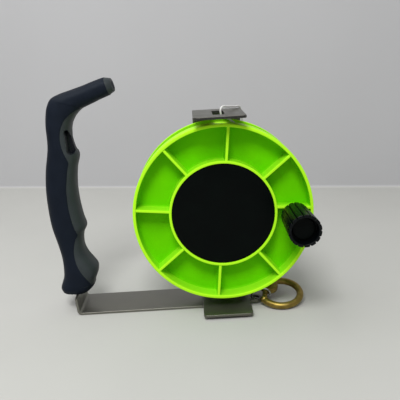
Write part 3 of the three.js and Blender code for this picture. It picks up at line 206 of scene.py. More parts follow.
# A round tube: centre + radius (cos(turn) side + sin(turn) up). The radius may change along the path.
def tube(path, radius, sides=16, hint=(0, 0, 1)):
    side, up = pathSides(path, hint)
    radius = np.broadcast_to(np.asarray(radius, float), (len(path),))[:, None, None]
    turn = np.linspace(0, 2 * np.pi, sides, endpoint=False)[None, :, None]
    grid = path[:, None] + radius * (np.cos(turn) * side[:, None] + np.sin(turn) * up[:, None])
    return skin(grid)


# A skin that was made about the Y axis stands about the Z axis instead: y and z change places.
def stoodUp(part, centre):
    points, quads, fans = part
    return outward(points[:, [0, 2, 1]] + np.asarray(centre, float), quads, fans)


# The length run along a path at each of its points: the sum of the distances before it.
def runLength(path):
    return np.concatenate([[0], np.cumsum(np.linalg.norm(np.diff(path, axis=0), axis=1))])


# A new finish: its material, its node tree and its Principled shader.
def startMaterial(name):
    material = bpy.data.materials.new(name)
    material.use_nodes = True
    return material, material.node_tree, material.node_tree.nodes["Principled BSDF"]


# Sockets are linked to a node's inputs, and other values are set on them.
def setInputs(tree, node, inputs):
    for key, value in inputs.items():
        if isinstance(value, bpy.types.NodeSocket):
            tree.links.new(value, node.inputs[key])
        else:
            node.inputs[key].default_value = value


# The settings come before the inputs, because they decide which inputs a node has.
def addNode(tree, kind, inputs=None, **settings):
    node = tree.nodes.new("ShaderNode" + kind)
    for setting, value in settings.items():
        setattr(node, setting, value)
    setInputs(tree, node, inputs or {})
    return node


def addNoise(tree, place, scale, detail):
    return addNode(tree, "TexNoise", {"Vector": place, "Scale": scale, "Detail": detail}).outputs["Fac"]


def addMath(tree, operation, *values):
    return addNode(tree, "Math", dict(enumerate(values)), operation=operation).outputs[0]


# A value that lies between the ends of one range moves to the same share of another.
def addRange(tree, value, source, target):
    return addNode(tree, "MapRange", {"Value": value, "From Min": source[0], "From Max": source[1],
                                      "To Min": target[0], "To Max": target[1]}).outputs["Result"]


# The share 0 gives the first colour and 1 the second.
def addMix(tree, share, first, second):
    return addNode(tree, "Mix", {"Factor": share, "A": first, "B": second}, data_type="RGBA").outputs["Result"]


def addBump(tree, height, distance):
    return addNode(tree, "Bump", {"Height": height, "Distance": distance, "Strength": 1.0}).outputs["Normal"]


noiseDefaults = {"range": (0.3, 0.7), "fineDetail": 3.0, "broadDetail": 4.0, "fineShare": 0.4}


# A finish is a Principled shader whose colour moves between two shades with a fine and a broad noise, whose
# roughness follows the broad noise, and whose bump is the fine noise, stretched where the finish has a grain.
def makeMaterial(name, look):
    material, tree, shader = startMaterial(name)
    place = addNode(tree, "TexCoord").outputs["Object"]
    grained = addNode(tree, "Mapping", {"Vector": place, "Scale": look.get("stretch", (1, 1, 1))})
    fine = addNoise(tree, grained.outputs["Vector"], 1 / (look["grain"] * mm), noiseDefaults["fineDetail"])
    broad = addNoise(tree, place, 1 / (look["cloud"] * mm), noiseDefaults["broadDetail"])
    fineShare = look.get("fineShare", noiseDefaults["fineShare"])
    rest = addRange(tree, broad, noiseDefaults["range"], (0.0, 1.0 - fineShare))
    share = addMath(tree, "MULTIPLY_ADD", fine, fineShare, rest)
    colour = addMix(tree, share, (*look["dark"], 1), (*look["light"], 1))
    # The edge colour, mixed in by the point attribute "edge", is painted light: a painted highlight on the lime
    # plastic and painted shade in the grey plastic's recess.
    if "edge" in look:
        edge = addNode(tree, "Attribute", attribute_name="edge").outputs["Fac"]
        colour = addMix(tree, edge, colour, (*look["edge"], 1))
    setInputs(tree, shader, {
        "Base Color": colour,
        "Roughness": addRange(tree, broad, noiseDefaults["range"], look["roughness"]),
        "Normal": addBump(tree, fine, look["bump"] * mm),
        "Metallic": look.get("metallic", 0.0),
        "Specular IOR Level": look.get("specular", 0.5),
        "Specular Tint": (*look.get("tint", (1, 1, 1)), 1),
    })
    return material


finishes = {
    # the lime's edge colour is a painted highlight: a brighter, yellower lime where light falls
    "lime plastic": {"dark": (0.115, 0.54, 0.001), "light": (0.15, 0.615, 0.001), "roughness": (0.4, 0.52),
                     "grain": 0.5, "cloud": 14.0, "bump": 0.01, "specular": 0.2, "tint": (0.6, 1.0, 0.08),
                     "edge": (0.44, 0.93, 0.02)},
    "black plastic": {"dark": (0.0005, 0.001, 0.0014), "light": (0.0014, 0.0026, 0.0034), "roughness": (0.3, 0.42),
                      "grain": 0.4, "cloud": 9.0, "bump": 0.02, "specular": 0.13},
    "label black": {"dark": (0.0005, 0.001, 0.001), "light": (0.001, 0.0025, 0.002), "roughness": (0.3, 0.42),
                    "grain": 0.25, "cloud": 16.0, "bump": 0.004, "specular": 0.06},
    "grip rubber": {"dark": (0.002, 0.004, 0.009), "light": (0.005, 0.008, 0.016), "roughness": (0.5, 0.65),
                    "grain": 0.35, "cloud": 11.0, "bump": 0.05, "specular": 0.17, "tint": (0.8, 0.9, 1.0)},
    # the grey plastic's edge colour is painted shade, laid into the handle's recess
    "grey plastic": {"dark": (0.021, 0.027, 0.029), "light": (0.032, 0.04, 0.043), "roughness": (0.45, 0.58),
                     "grain": 0.4, "cloud": 12.0, "bump": 0.03, "specular": 0.25, "edge": (0.0008, 0.002, 0.005)},
    "frame steel": {"dark": (0.115, 0.112, 0.092), "light": (0.167, 0.163, 0.137), "roughness": (0.3, 0.45),
                    "grain": 0.3, "cloud": 18.0, "bump": 0.012, "metallic": 0.85, "stretch": (1, 0.03, 1),
                    "fineShare": 0.5, "specular": 0.3},
    # painted shade: a dark finish for the top tab's cut faces, which face away from the light
    "shaded cut edge": {"dark": (0.014, 0.014, 0.012), "light": (0.03, 0.03, 0.026), "roughness": (0.4, 0.55),
                     "grain": 0.3, "cloud": 8.0, "bump": 0.03, "metallic": 0.4, "stretch": (1, 1, 0.1)},
    "bar steel": {"dark": (0.15, 0.147, 0.127), "light": (0.22, 0.215, 0.187), "roughness": (0.3, 0.45),
                  "grain": 0.3, "cloud": 18.0, "bump": 0.012, "metallic": 0.85, "stretch": (0.03, 1, 1),
                  "fineShare": 0.5, "specular": 0.3},
    "bright steel": {"dark": (0.45, 0.45, 0.42), "light": (0.62, 0.62, 0.59), "roughness": (0.16, 0.28),
                     "grain": 0.25, "cloud": 6.0, "bump": 0.006, "metallic": 1.0},
    "brass": {"dark": (0.17, 0.115, 0.025), "light": (0.38, 0.28, 0.075), "roughness": (0.36, 0.5),
              "grain": 0.6, "cloud": 4.0, "bump": 0.015, "metallic": 1.0},
    "white acetal": {"dark": (0.7, 0.69, 0.65), "light": (0.8, 0.79, 0.75), "roughness": (0.4, 0.5),
                     "grain": 0.4, "cloud": 8.0, "bump": 0.01},
    "line core": {"dark": (0.6, 0.59, 0.56), "light": (0.78, 0.77, 0.74), "roughness": (0.75, 0.9),
                  "grain": 0.35, "cloud": 3.0, "bump": 0.1, "stretch": (1, 2, 1)},
}
finish = {name: makeMaterial(name.replace(" ", "_"), values) for name, values in finishes.items()}

# Braided line: the UV map runs once round the line and once per braid length along it. Two slanted waves, one leaning
# each way, cross to raise the strands, and the colour darkens where they sink: painted shade between the strands.
braid = {"strands": 4, "lean": 1.0, "height": 0.09, "length": 2.0, "dark": (0.4, 0.39, 0.37),
         "light": (0.74, 0.73, 0.71), "roughness": 0.8, "sheen": 0.2}


def makeLineMaterial():
    material, tree, shader = startMaterial("braided_line")
    uv = addNode(tree, "UVMap", uv_map="braid").outputs["UV"]
    place = addNode(tree, "SeparateXYZ", {"Vector": uv}).outputs
    around = addMath(tree, "MULTIPLY", place["X"], 2 * np.pi * braid["strands"])
    onward = addMath(tree, "MULTIPLY", place["Y"], 2 * np.pi * braid["lean"])
    waves = [addMath(tree, "ABSOLUTE", addMath(tree, "SINE", addMath(tree, way, around, onward)))
             for way in ("ADD", "SUBTRACT")]
    strands = addMath(tree, "MAXIMUM", *waves)
    setInputs(tree, shader, {
        # painted shade: darker where the strands sink
        "Base Color": addMix(tree, strands, (*braid["dark"], 1), (*braid["light"], 1)),
        "Normal": addBump(tree, strands, braid["height"] * mm),
        "Roughness": braid["roughness"],
        "Sheen Weight": braid["sheen"],
    })
    return material


lineMaterial = makeLineMaterial()
print("materials made")


# place in millimetres, turns in radians, focal length and image size in pixels, clip in metres
camera = {"place": (-20.43, -429.04, 123.67), "pitch": 0.253, "yaw": 0.007, "roll": -0.057, "focal": 578.62,
          "image": 400, "sensor": 36.0, "clip": (0.01, 20.0)}


# Puts a camera or lamp at a place in metres, with its own three axes along the given directions.
def setPlace(thing, right, up, back, place):
    turn = np.eye(4)
    turn[:3] = np.column_stack([right, up, back, place])
    thing.matrix_world = Matrix(turn.tolist())


# Ahead is (sin yaw cos pitch, cos yaw cos pitch, -sin pitch), and the roll turns right and up about it.
def makeCamera():
    pitch, yaw, roll = camera["pitch"], camera["yaw"], camera["roll"]
    ahead = np.array([np.sin(yaw) * np.cos(pitch), np.cos(yaw) * np.cos(pitch), -np.sin(pitch)])
    right = np.array([np.cos(yaw), -np.sin(yaw), 0.0])
    up = np.cross(right, ahead)
    across = right * np.cos(roll) + up * np.sin(roll)
    upward = -right * np.sin(roll) + up * np.cos(roll)
    data = bpy.data.cameras.new("camera")
    data.sensor_fit = "HORIZONTAL"
    data.sensor_width = camera["sensor"]
    data.lens = camera["focal"] / camera["image"] * camera["sensor"]
    data.clip_start, data.clip_end = camera["clip"]
    eye = addObject("camera", data)
    setPlace(eye, across, upward, -ahead, toMetres(camera["place"]))
    bpy.context.scene.camera = eye


# lengths in metres
studio = {
    # right: the share of the colour that is left at the right side, a painted shade
    "floor": {"colour": (0.5, 0.5, 0.475), "right": 0.93, "grain": 9.0, "oneSided": False},
    "wall": {"colour": (0.49, 0.49, 0.5), "right": 0.9, "grain": 4.0, "oneSided": True},
    "mottle": (0.95, 1.04), "detail": 5.0, "fade": (-0.2, 0.25), "roughness": 0.7, "specular": 0.2,
    "wallDistance": 0.428, "wallTurn": -0.2405, "wallRound": 0.004, "roundSteps": 24, "reach": 3.0,
    "worldColour": (1.0, 1.0, 1.0), "world": 0.405, "lampTarget": (0, 0, 0.08), "lampUp": (0.0, 1.0, 0.2),
    "lamps": {
        "key": {"place": (-0.13, -0.85, 1.1), "size": 0.45, "power": 13.6},
        "top": {"place": (-0.7, -0.1, 1.4), "size": 1.2, "power": 9.0},
    },
}


# The colour is a little mottled and falls off from left to right, a painted shade over the right side. A wall seen
# from behind is clear.
def makeStageMaterial(name, look):
    material, tree, shader = startMaterial(name)
    place = addNode(tree, "TexCoord").outputs["Object"]
    darker, lighter = ((*[share * c for c in look["colour"]], 1) for share in studio["mottle"])
    colour = addMix(tree, addNoise(tree, place, look["grain"], studio["detail"]), darker, lighter)
    right = addNode(tree, "SeparateXYZ", {"Vector": place}).outputs["X"]
    share = addRange(tree, right, studio["fade"], (1.0, look["right"]))
    shadedColour = addNode(tree, "VectorMath", {"Vector": colour, "Scale": share}, operation="SCALE").outputs["Vector"]
    setInputs(tree, shader, {"Base Color": shadedColour, "Roughness": studio["roughness"],
                             "Specular IOR Level": studio["specular"]})
    if look["oneSided"]:
        behind = addNode(tree, "NewGeometry").outputs["Backfacing"]
        clear = addNode(tree, "BsdfTransparent").outputs["BSDF"]
        either = addNode(tree, "MixShader", {"Fac": behind, 1: shader.outputs["BSDF"], 2: clear})
        tree.links.new(either.outputs["Shader"], tree.nodes["Material Output"].inputs["Surface"])
    return material


# The table runs back, curves up through a quarter circle and goes on as the wall: one profile carried sideways.
def makeStage():
    radius, distance, reach = studio["wallRound"], studio["wallDistance"], studio["reach"]
    turn = np.linspace(0, np.pi / 2, studio["roundSteps"])
    y = np.concatenate([[-reach], distance - radius + radius * np.sin(turn), [distance]])
    z = np.concatenate([[0.0], radius - radius * np.cos(turn), [reach]])
    x = np.array([-reach, reach])
    lean = np.tan(studio["wallTurn"])
    grid = np.stack(np.broadcast_arrays(x[None], y[:, None] + lean * x[None] * (y[:, None] > -reach), z[:, None]),
                    axis=-1)
    rows = len(y)
    faces = np.stack([np.arange(0, 2 * rows - 2, 2) + k for k in (0, 1, 3, 2)], axis=-1)
    mesh = bpy.data.meshes.new("table_and_wall")
    mesh.from_pydata(grid.reshape(-1, 3).tolist(), [], faces.tolist())
    mesh.materials.append(makeStageMaterial("table_top", studio["floor"]))
    mesh.materials.append(makeStageMaterial("wall", studio["wall"]))
    isWall = np.arange(len(faces)) > studio["roundSteps"] // 2
    mesh.polygons.foreach_set("material_index", isWall.astype(np.int32))
    mesh.shade_smooth()
    rest = bpy.data.meshes.new("table_behind")
    line = distance + lean * x
    rest.from_pydata([(x[0], line[0], 0), (x[1], line[1], 0), (x[1], 2 * reach, 0), (x[0], 2 * reach, 0)], [],
                     [(0, 1, 2, 3)])
    rest.materials.append(mesh.materials[0])
    for name, data in (("table_and_wall", mesh), ("table_behind", rest)):
        table = addObject(name, data)


# A square lamp at its place, turned so that it shines at the target.
def makeLamp(name, lamp):
    data = bpy.data.lights.new(name, "AREA")
    data.shape = "SQUARE"
    data.size = lamp["size"]
    data.energy = lamp["power"]
    place = np.array(lamp["place"])
    back = unit(place - np.array(studio["lampTarget"]))
    side = unit(np.cross(studio["lampUp"], back))
    setPlace(addObject(name, data), side, np.cross(back, side), back, place)


def makeLight():
    scene = bpy.context.scene
    scene.view_settings.view_transform = "Standard"
    world = bpy.data.worlds.new("studio")
    scene.world = world
    world.use_nodes = True
    background = world.node_tree.nodes["Background"]
    background.inputs["Color"].default_value = (*studio["worldColour"], 1)
    background.inputs["Strength"].default_value = studio["world"]
    for name, lamp in studio["lamps"].items():
        makeLamp(name, lamp)


makeCamera()
makeStage()
makeLight()
print("camera, table and lamps made")


lead = {
    "diameter": 1.5, "sides": 12, "hint": (0.8, -0.6, 0.05), "stepsPerSpan": 10,
    "route": [
        [23.31, 16.35, 59.96], [17.0, 16.4, 64.5], [9.75, 16.5, 70.3], [8.15, 16.05, 71.4], [6.8, 14.8, 72.25],
        [3.4, 10.0, 74.05], [2.6, 8.8, 74.9], [2.05, 7.95, 76.25], [1.8, 7.4, 77.55], [1.75, 7.15, 79.1],
        [2.25, 7.7, 80.65], [3.15, 8.9, 81.6], [4.2, 10.45, 81.75], [7.6, 15.6, 80.95], [11.0, 23.6, 80.1],
        [14.6, 33.0, 79.0], [17.9, 42.0, 78.4], [19.7, 48.0, 76.9], [20.6, 51.4, 72.2], [22.5, 53.6, 61.0],
        [27.83, 59.32, 36.03], [33.0, 64.86, 11.83], [38.13, 70.36, -12.15], [42.38, 74.92, -32.06],
        [46.0, 78.8, -49.0],
    ],
}


# The braid's UV map on a tube: across is the share of the way round, along is the length run in braid lengths.
def addBraid(mesh, columns, lengths):
    number = np.empty(len(mesh.loops), np.int32)
    mesh.loops.foreach_get("vertex_index", number)
    column = number % columns
    row = np.minimum(number // columns, len(lengths) - 1)
    starts = np.empty(len(mesh.polygons), np.int32)
    totals = np.empty(len(mesh.polygons), np.int32)
    mesh.polygons.foreach_get("loop_start", starts)
    mesh.polygons.foreach_get("loop_total", totals)
    owner = np.repeat(np.arange(len(starts)), totals)
    widest = np.zeros(len(starts), int)
    np.maximum.at(widest, owner, column)
    wraps = (widest[owner] == columns - 1) & (column == 0)
    u = np.where(wraps, columns, column) / columns
    v = lengths[row] / braid["length"]
    layer = mesh.uv_layers.new(name="braid")
    layer.data.foreach_set("uv", np.stack([u, v], axis=-1).ravel())


# The free line is a tube along its route.
def makeLead():
    path = smoothPath(lead["route"], lead["stepsPerSpan"])
    skins = [tube(path, lead["diameter"] / 2, lead["sides"], hint=lead["hint"])]
    piece = makePiece("free_line", skins, "frame", lineMaterial, ["line_lead"])
    lengths = runLength(path)
    addBraid(piece.data, lead["sides"], lengths)
    print("free line, mm:", round(float(lengths[-1]), 1))


makeLead()


spool = {
    "radius": 70.0, "depth": 15.0, "rimWall": 2.4, "floor": 13.0, "hubRadius": 42.0, "hubWall": 2.0, "lip": 37.0,
    "lipFront": 2.6, "bore": 7.5, "boss": 13.0, "bossFront": 11.5, "hubDraft": 0.15, "rimDraft": 0.25, "step": 2.5,
    # one radius for each corner of the turned profile, from the bore outwards and back
    "rounding": [0.3, 0.5, 0.8, 0.8, 0.3, 0.3, 0.45, 0.6, 1.6, 1.6, 0.6, 0.8, 0.7, 0.3],
    "ribCount": 8, "ribTurn": -5.7, "ribHeight": 0.4, "ribHalf": 1.0, "ribRounding": 0.3, "fillet": 0.35,
    # a rib's section: how deep its surface lies at each distance from its middle line
    "ribDistance": [0, 0.45, 0.75, 0.93, 1.03, 1.1, 1.2, 1.3, 1.4, 1.6, 1.9, 2.4, 3.0],
    "ribDepth": [0.4, 0.4, 0.44, 0.56, 0.85, 1.5, 5.0, 9.0, 11.6, 12.6, 13.1, 13.6, 14.2],
    "noRib": 30.0, "widestSine": 0.42, "pocketColumns": 12, "pocketMargins": (1.2, 0.8, 0.5),
    "crankCircle": 55.6, "crankTurn": -4.3, "crankRib": 6.4, "crankRibReach": (41.0, 68.4),
    "crankBoss": [(3.3, 0.3), (7.5, 0.3), (7.9, 14.0), (3.3, 14.0)], "crankBossRounding": [0.3, 0.6, 0.3, 0.3],
}
crankX = spool["crankCircle"] * np.cos(np.radians(spool["crankTurn"]))
crankZ = spool["crankCircle"] * np.sin(np.radians(spool["crankTurn"]))


# The lower of two heights with a fillet where they meet: -k log(exp(-a/k) + exp(-b/k)).
def softLower(a, b, k):
    low = np.minimum(a, b)
    return low - k * np.log1p(np.exp(-np.abs(a - b) / k))


# Long runs of a closed outline get more points, so that no two are further apart than a step.
def finer(profile, step):
    loop = np.vstack([profile, profile[:1]])
    lengths = runLength(loop)
    extra = np.arange(step, lengths[-1], step)
    extra = extra[np.min(np.abs(extra[:, None] - lengths[None]), axis=1) > 0.3 * step]  # none close to a point
    at = np.sort(np.concatenate([lengths[:-1], extra]))
    return np.stack([np.interp(at, lengths, loop[:, i]) for i in range(2)], axis=-1)


# The front half of the spool. Its rows follow the turned profile, and its columns run out along the ribs: near a
# rib they keep their distance from its middle line, between ribs they share the angle. In the ring of pockets the
# depth is the lower of the profile's and the rib's. The first place, at the crank, has no rib here.
def makeFrontFlange():
    s = spool
    inner = s["radius"] - s["rimWall"]
    hubIn = s["hubRadius"] - s["hubWall"]
    corners = [(s["bore"], s["bossFront"]), (s["boss"], s["bossFront"]), (s["boss"], s["floor"]),
               (s["lip"], s["floor"]), (s["lip"], s["lipFront"]), (hubIn, s["lipFront"]), (hubIn, 0),
               (s["hubRadius"], 0), (s["hubRadius"] + s["hubDraft"], s["floor"]),
               (inner - s["rimDraft"], s["floor"]), (inner, 0), (s["radius"], 0), (s["radius"], s["depth"]),
               (s["bore"], s["depth"])]
    profile = finer(roundCorners(corners, s["rounding"], steps=7), s["step"])
    r, y = profile[:, :1], profile[:, 1:]
    half = np.pi / s["ribCount"]
    reach = np.arcsin(np.clip(np.array(s["ribDistance"])[None] / np.maximum(r, 1e-6), 0, s["widestSine"]))
    middleShare = np.linspace(0, 1, s["pocketColumns"])[1:]
    onward = reach[:, -1:] + (half - reach[:, -1:]) * middleShare[None]
    right = np.concatenate([reach, onward], axis=1)
    turn = np.concatenate([-right[:, :0:-1], right[:, :-1]], axis=1)
    centres = np.radians(s["ribTurn"]) + 2 * half * np.arange(s["ribCount"])
    turn = (turn[:, None, :] + centres[None, :, None]).reshape(len(profile), -1)
    ribSide = np.concatenate([s["ribDepth"], np.full(len(middleShare), s["noRib"])])
    rib = np.concatenate([ribSide[:0:-1], ribSide[:-1]])
    ribs = np.concatenate([np.full(len(rib), s["noRib"]), np.tile(rib, s["ribCount"] - 1)])[None]
    inHub, inRim, underFloor = s["pocketMargins"]
    pockets = (r > s["hubRadius"] - inHub) & (r < s["radius"] - inRim) & (y < s["floor"] + underFloor)
    depth = np.where(pockets, softLower(y, ribs, s["fillet"]), y + 0 * ribs)
    grid = np.stack([r * np.cos(turn), depth, r * np.sin(turn)], axis=-1)
    boss = turned(roundCorners(s["crankBoss"], s["crankBossRounding"]), (crankX, 0, crankZ), 64)
    piece = makePiece("spool_front", [skin(grid, along=True), boss, crankRib()], "spool", finish["lime plastic"],
                      ["spool_front_flange"])
    # The front edges, the rim's outside and the upward pocket walls get a painted highlight.
    addPaintedLightShare(piece, frontHighlightShare)


# where the lime's painted highlight falls: front edges, the rim's outside and upward pocket walls
paintedHighlight = {"front": 1.25, "frontFall": 1.6, "rimFrom": 69.0, "wallBefore": 12.0, "hubMargin": 0.5,
             "rimMargin": 1.0, "wallShare": 0.55, "wallGain": 1.6}


# Painted highlight on a rim's outside: 0 up to the last millimetre of the rim's radius, and 1 at its outside.
def rimHighlightShare(place, normal):
    return np.clip(np.hypot(place[:, 0], place[:, 2]) - paintedHighlight["rimFrom"], 0, 1)


# Painted highlight: 1 at the front edges of rim and ribs and on the rim's outside, and wallShare on pocket walls that
# face up towards the light.
def frontHighlightShare(place, normal):
    e = paintedHighlight
    radius = np.hypot(place[:, 0], place[:, 2])
    front = np.clip(e["front"] - place[:, 1] / e["frontFall"], 0, 1)
    wall = ((place[:, 1] < e["wallBefore"]) & (radius > spool["hubRadius"] - e["hubMargin"])
            & (radius < spool["radius"] - e["rimMargin"]))
    upward = np.clip(e["wallGain"] * normal[:, 2], 0, 1)
    return np.maximum(np.maximum(front, rimHighlightShare(place, normal)), e["wallShare"] * wall * upward)


# The eighth rib passes above the crank's boss, parallel to the line from the axle to the crank: its rounded
# section is carried along that line.
def crankRib():
    s = spool
    turn = np.radians(s["crankTurn"])
    along = np.array([np.cos(turn), 0, np.sin(turn)])
    across = np.array([-np.sin(turn), 0, np.cos(turn)])
    section = roundCorners(rectangle(-s["ribHalf"], s["ribHalf"], s["ribHeight"], s["floor"] + 1), s["ribRounding"])
    ring = (s["crankRib"] + section[:, :1]) * across + section[:, 1:] * np.array([0, 1, 0])
    lengths = np.linspace(*s["crankRibReach"], 9)[:, None, None]
    return skin(ring[None] + lengths * along)


rear = {
    "bore": 7.5, "front": 17.3, "hub": 13, "floor": 34, "drumInside": 25.5, "drum": 28, "drumFront": 15.2,
    "radius": 70, "back": 36.3, "rounding": [0.3, 0.4, 0.6, 0.6, 0.3, 0.3, 1.0, 0.7, 0.7, 0.3], "steps": 192,
    "bossCircle": 20, "bossTurn": 45, "boss": rectangle(2.1, 4, 15.2, 35), "bossRounding": 0.25, "bossSteps": 40,
}


# The back half is one turned profile with the drum, and four turned bosses for its screws.
def makeRearFlange():
    s = rear
    corners = [(s["bore"], s["front"]), (s["hub"], s["front"]), (s["hub"], s["floor"]),
               (s["drumInside"], s["floor"]), (s["drumInside"], s["drumFront"]), (s["drum"], s["drumFront"]),
               (s["drum"], s["floor"]), (s["radius"], s["floor"]), (s["radius"], s["back"]), (s["bore"], s["back"])]
    skins = [turned(roundCorners(corners, s["rounding"]), steps=s["steps"])]
    turn = np.radians(s["bossTurn"] + 90 * np.arange(4))
    for x, z in s["bossCircle"] * np.stack([np.cos(turn), np.sin(turn)], axis=-1):
        skins.append(turned(roundCorners(s["boss"], s["bossRounding"]), (x, 0, z), s["bossSteps"]))
    piece = makePiece("spool_back", skins, "spool", finish["lime plastic"], ["spool_rear_flange"])
    # The rim's outside gets a painted highlight.
    addPaintedLightShare(piece, rimHighlightShare)


label = {"radius": 39.75, "front": 1.0, "back": 2.4, "rounding": 0.35, "ring": 20.0, "steps": 160}


# A bare disc with rounded edges, turned about the spool's axle.
def makeLabel():
    d = label
    profile = roundCorners(rectangle(0, d["radius"], d["front"], d["back"]), d["rounding"], closed=False)[1:-1]
    rings = np.vstack([[(d["ring"], d["front"])], profile, [(d["ring"], d["back"])]])
    makePiece("hub_disc", [turned(rings, steps=d["steps"], closed=False)], "spool", finish["label black"],
              ["hub_label_disc"])


makeFrontFlange()
makeRearFlange()
makeLabel()
print("spool made")


winding = {"radius": 62.49, "turns": 10.75, "front": 16.35, "back": 32.65, "steps": 90, "sides": 8, "endTurn": 35.0,
           "run": 15.0, "core": (28.3, 61.7, 15.3, 33.7), "coreRounding": 0.4, "coreSteps": 128}


# The outer layer is one helix about the spool's axle, whose last end runs straight towards the free line.
def makeWinding():
    w = winding
    left = np.linspace(1, 0, int(w["turns"] * w["steps"]) + 1)
    turn = np.radians(w["endTurn"]) + 2 * np.pi * w["turns"] * left
    y = w["front"] + (w["back"] - w["front"]) * left
    helix = np.stack([w["radius"] * np.sin(turn), y, w["radius"] * np.cos(turn)], axis=-1)
    ahead = np.array([-np.cos(turn[-1]), 0, np.sin(turn[-1])])
    end = helix[-1] + np.array([[0.33], [0.67], [1.0]]) * w["run"] * ahead
    path = np.vstack([helix, end])
    skins = [tube(path, lead["diameter"] / 2, w["sides"], hint=(0, 1, 0))]
    piece = makePiece("stowed_line", skins, "spool", lineMaterial, ["line_winding"])
    addBraid(piece.data, w["sides"], runLength(path))
    profile = roundCorners(rectangle(*w["core"]), w["coreRounding"])
    makePiece("stowed_line_layers", [turned(profile, steps=w["coreSteps"])], "spool", finish["line core"],
              ["line_core"])


makeWinding()
print("stowed line made")


knob = {"base": -0.6, "front": -41.0, "baseRadius": 11.0, "frontRadius": 12.1, "wall": 9.8, "step": -31.9,
        "pocketRadius": 7.6, "pocket": -24.0, "bore": 3.35, "rounding": [0.2, 0.9, 0.8, 0.6, 0.2, 0.2, 0.2, 0.2],
        "lobes": 15, "lobeColumns": 18, "groove": 1.25, "grooveShare": 0.26, "groovePower": 1.4,
        "grooveFrom": 0.2, "grooveFade": 1.4}


# The sleeve's radius falls by groove cos^power near each of the evenly spaced grooves, on its outside only.
def makeKnob():
    k = knob
    corners = [(k["bore"], k["base"]), (k["baseRadius"], k["base"]), (k["frontRadius"], k["front"]),
               (k["wall"], k["front"]), (k["wall"], k["step"]), (k["pocketRadius"], k["step"]),
               (k["pocketRadius"], k["pocket"]), (k["bore"], k["pocket"])]
    profile = roundCorners(corners, k["rounding"], steps=7)
    turn = np.linspace(0, 2 * np.pi, k["lobes"] * k["lobeColumns"], endpoint=False)[None]
    phase = (turn * k["lobes"] / (2 * np.pi) + 0.5) % 1 - 0.5
    near = np.clip(np.abs(phase) / (k["grooveShare"] / 2), 0, 1)
    fall = k["groove"] * np.cos(near * np.pi / 2) ** k["groovePower"]
    outside = np.clip((profile[:, :1] - k["wall"] - k["grooveFrom"]) / k["grooveFade"], 0, 1)
    radius = profile[:, :1] - outside * fall
    grid = np.stack([radius * np.cos(turn), profile[:, 1:] + 0 * turn, radius * np.sin(turn)], axis=-1)
    makePiece("crank_grip", [skin(grid + np.array([crankX, 0, crankZ]), along=True)], "crank_knob",
              finish["black plastic"], ["knob_sleeve"])


makeKnob()
print("knob made")


strip = {"width": 39.0, "thickness": 2.0, "edge": 0.35, "bend": 4.0, "top": 77.0, "bottom": -80.0, "back": 46.0,
         "topFront": -14.0, "bottomFront": -12.5, "corner": 2.5, "cornerSteps": 9, "edgeSteps": 6}


# Points along straight runs and round bends: a polyline whose corners are arcs of the given radius.
def bentLine(corners, radius, arcSteps=14):
    corners = np.asarray(corners, float)
    parts = [corners[:1]]
    for before, corner, after in zip(corners[:-2], corners[1:-1], corners[2:]):
        a, b = unit(before - corner), unit(after - corner)
        half = np.arccos(np.clip(a @ b, -1, 1)) / 2
        centre = corner + unit(a + b) * radius / np.sin(half)
        start = corner + a * radius / np.tan(half) - centre
        end = corner + b * radius / np.tan(half) - centre
        share = np.linspace(0, 1, arcSteps)[:, None]
        angle = np.arccos(np.clip(unit(start) @ unit(end), -1, 1))
        parts.append(centre + (np.sin((1 - share) * angle) * start + np.sin(share * angle) * end) / np.sin(angle))
    parts.append(corners[-1:])
    return np.vstack(parts)


# A strip of sheet bent along a path. Its section is a flat rectangle with rounded edges; near each end the half
# width follows the corner's quarter circle and the edges are rounded off.
def bentStrip(path, inward, halfWidth, corner, toPoint):
    thickness, edge, steps = strip["thickness"], strip["edge"], strip["edgeSteps"]
    lengths = runLength(path)
    near = corner * (1 - np.cos(np.linspace(0, np.pi / 2, strip["cornerSteps"])))
    stations = np.unique(np.concatenate([near, lengths[(lengths > corner) & (lengths < lengths[-1] - corner)],
                                         lengths[-1] - near, [edge * 0.3, lengths[-1] - edge * 0.3]]))
    line = np.stack([np.interp(stations, lengths, path[:, i]) for i in range(2)], axis=-1)
    normal = np.stack([np.interp(stations, lengths, inward[:, i]) for i in range(2)], axis=-1)
    fromEnd = np.minimum(stations, lengths[-1] - stations)
    into = np.clip(1 - fromEnd / corner, 0, 1)
    half = halfWidth(stations) - corner * (1 - np.sqrt(1 - into ** 2))
    shrink = edge * (1 - np.sqrt(1 - np.clip(1 - fromEnd / edge, 0, 1) ** 2))
    box = roundCorners(rectangle(-1, 1, 0, 1), 0.0, steps=steps)
    arc = np.tile(np.linspace(0, np.pi / 2, steps), 4) + np.repeat(np.array([2, 3, 0, 1]) * np.pi / 2, steps)
    across = box[None, :, 0] * (half[:, None] - edge) + edge * np.cos(arc)[None]
    thick = thickness / 2 - edge
    depth = thickness / 2 + (np.sign(box[None, :, 1] - 0.5) * thick + edge * np.sin(arc)[None]) * (
        1 - shrink[:, None] / (thickness / 2))
    place = line[:, None] + normal[:, None] * depth[..., None]
    return skin(toPoint(across, place))


# The run of the path turned by a right angle, on the side of the path where the given point lies.
def pathNormals(path, towards):
    run = unit(np.gradient(path, axis=0))
    normal = np.stack([-run[:, 1], run[:, 0]], axis=-1)
    middle = len(path) // 2
    return normal * np.sign((np.asarray(towards) - path[middle]) @ normal[middle])


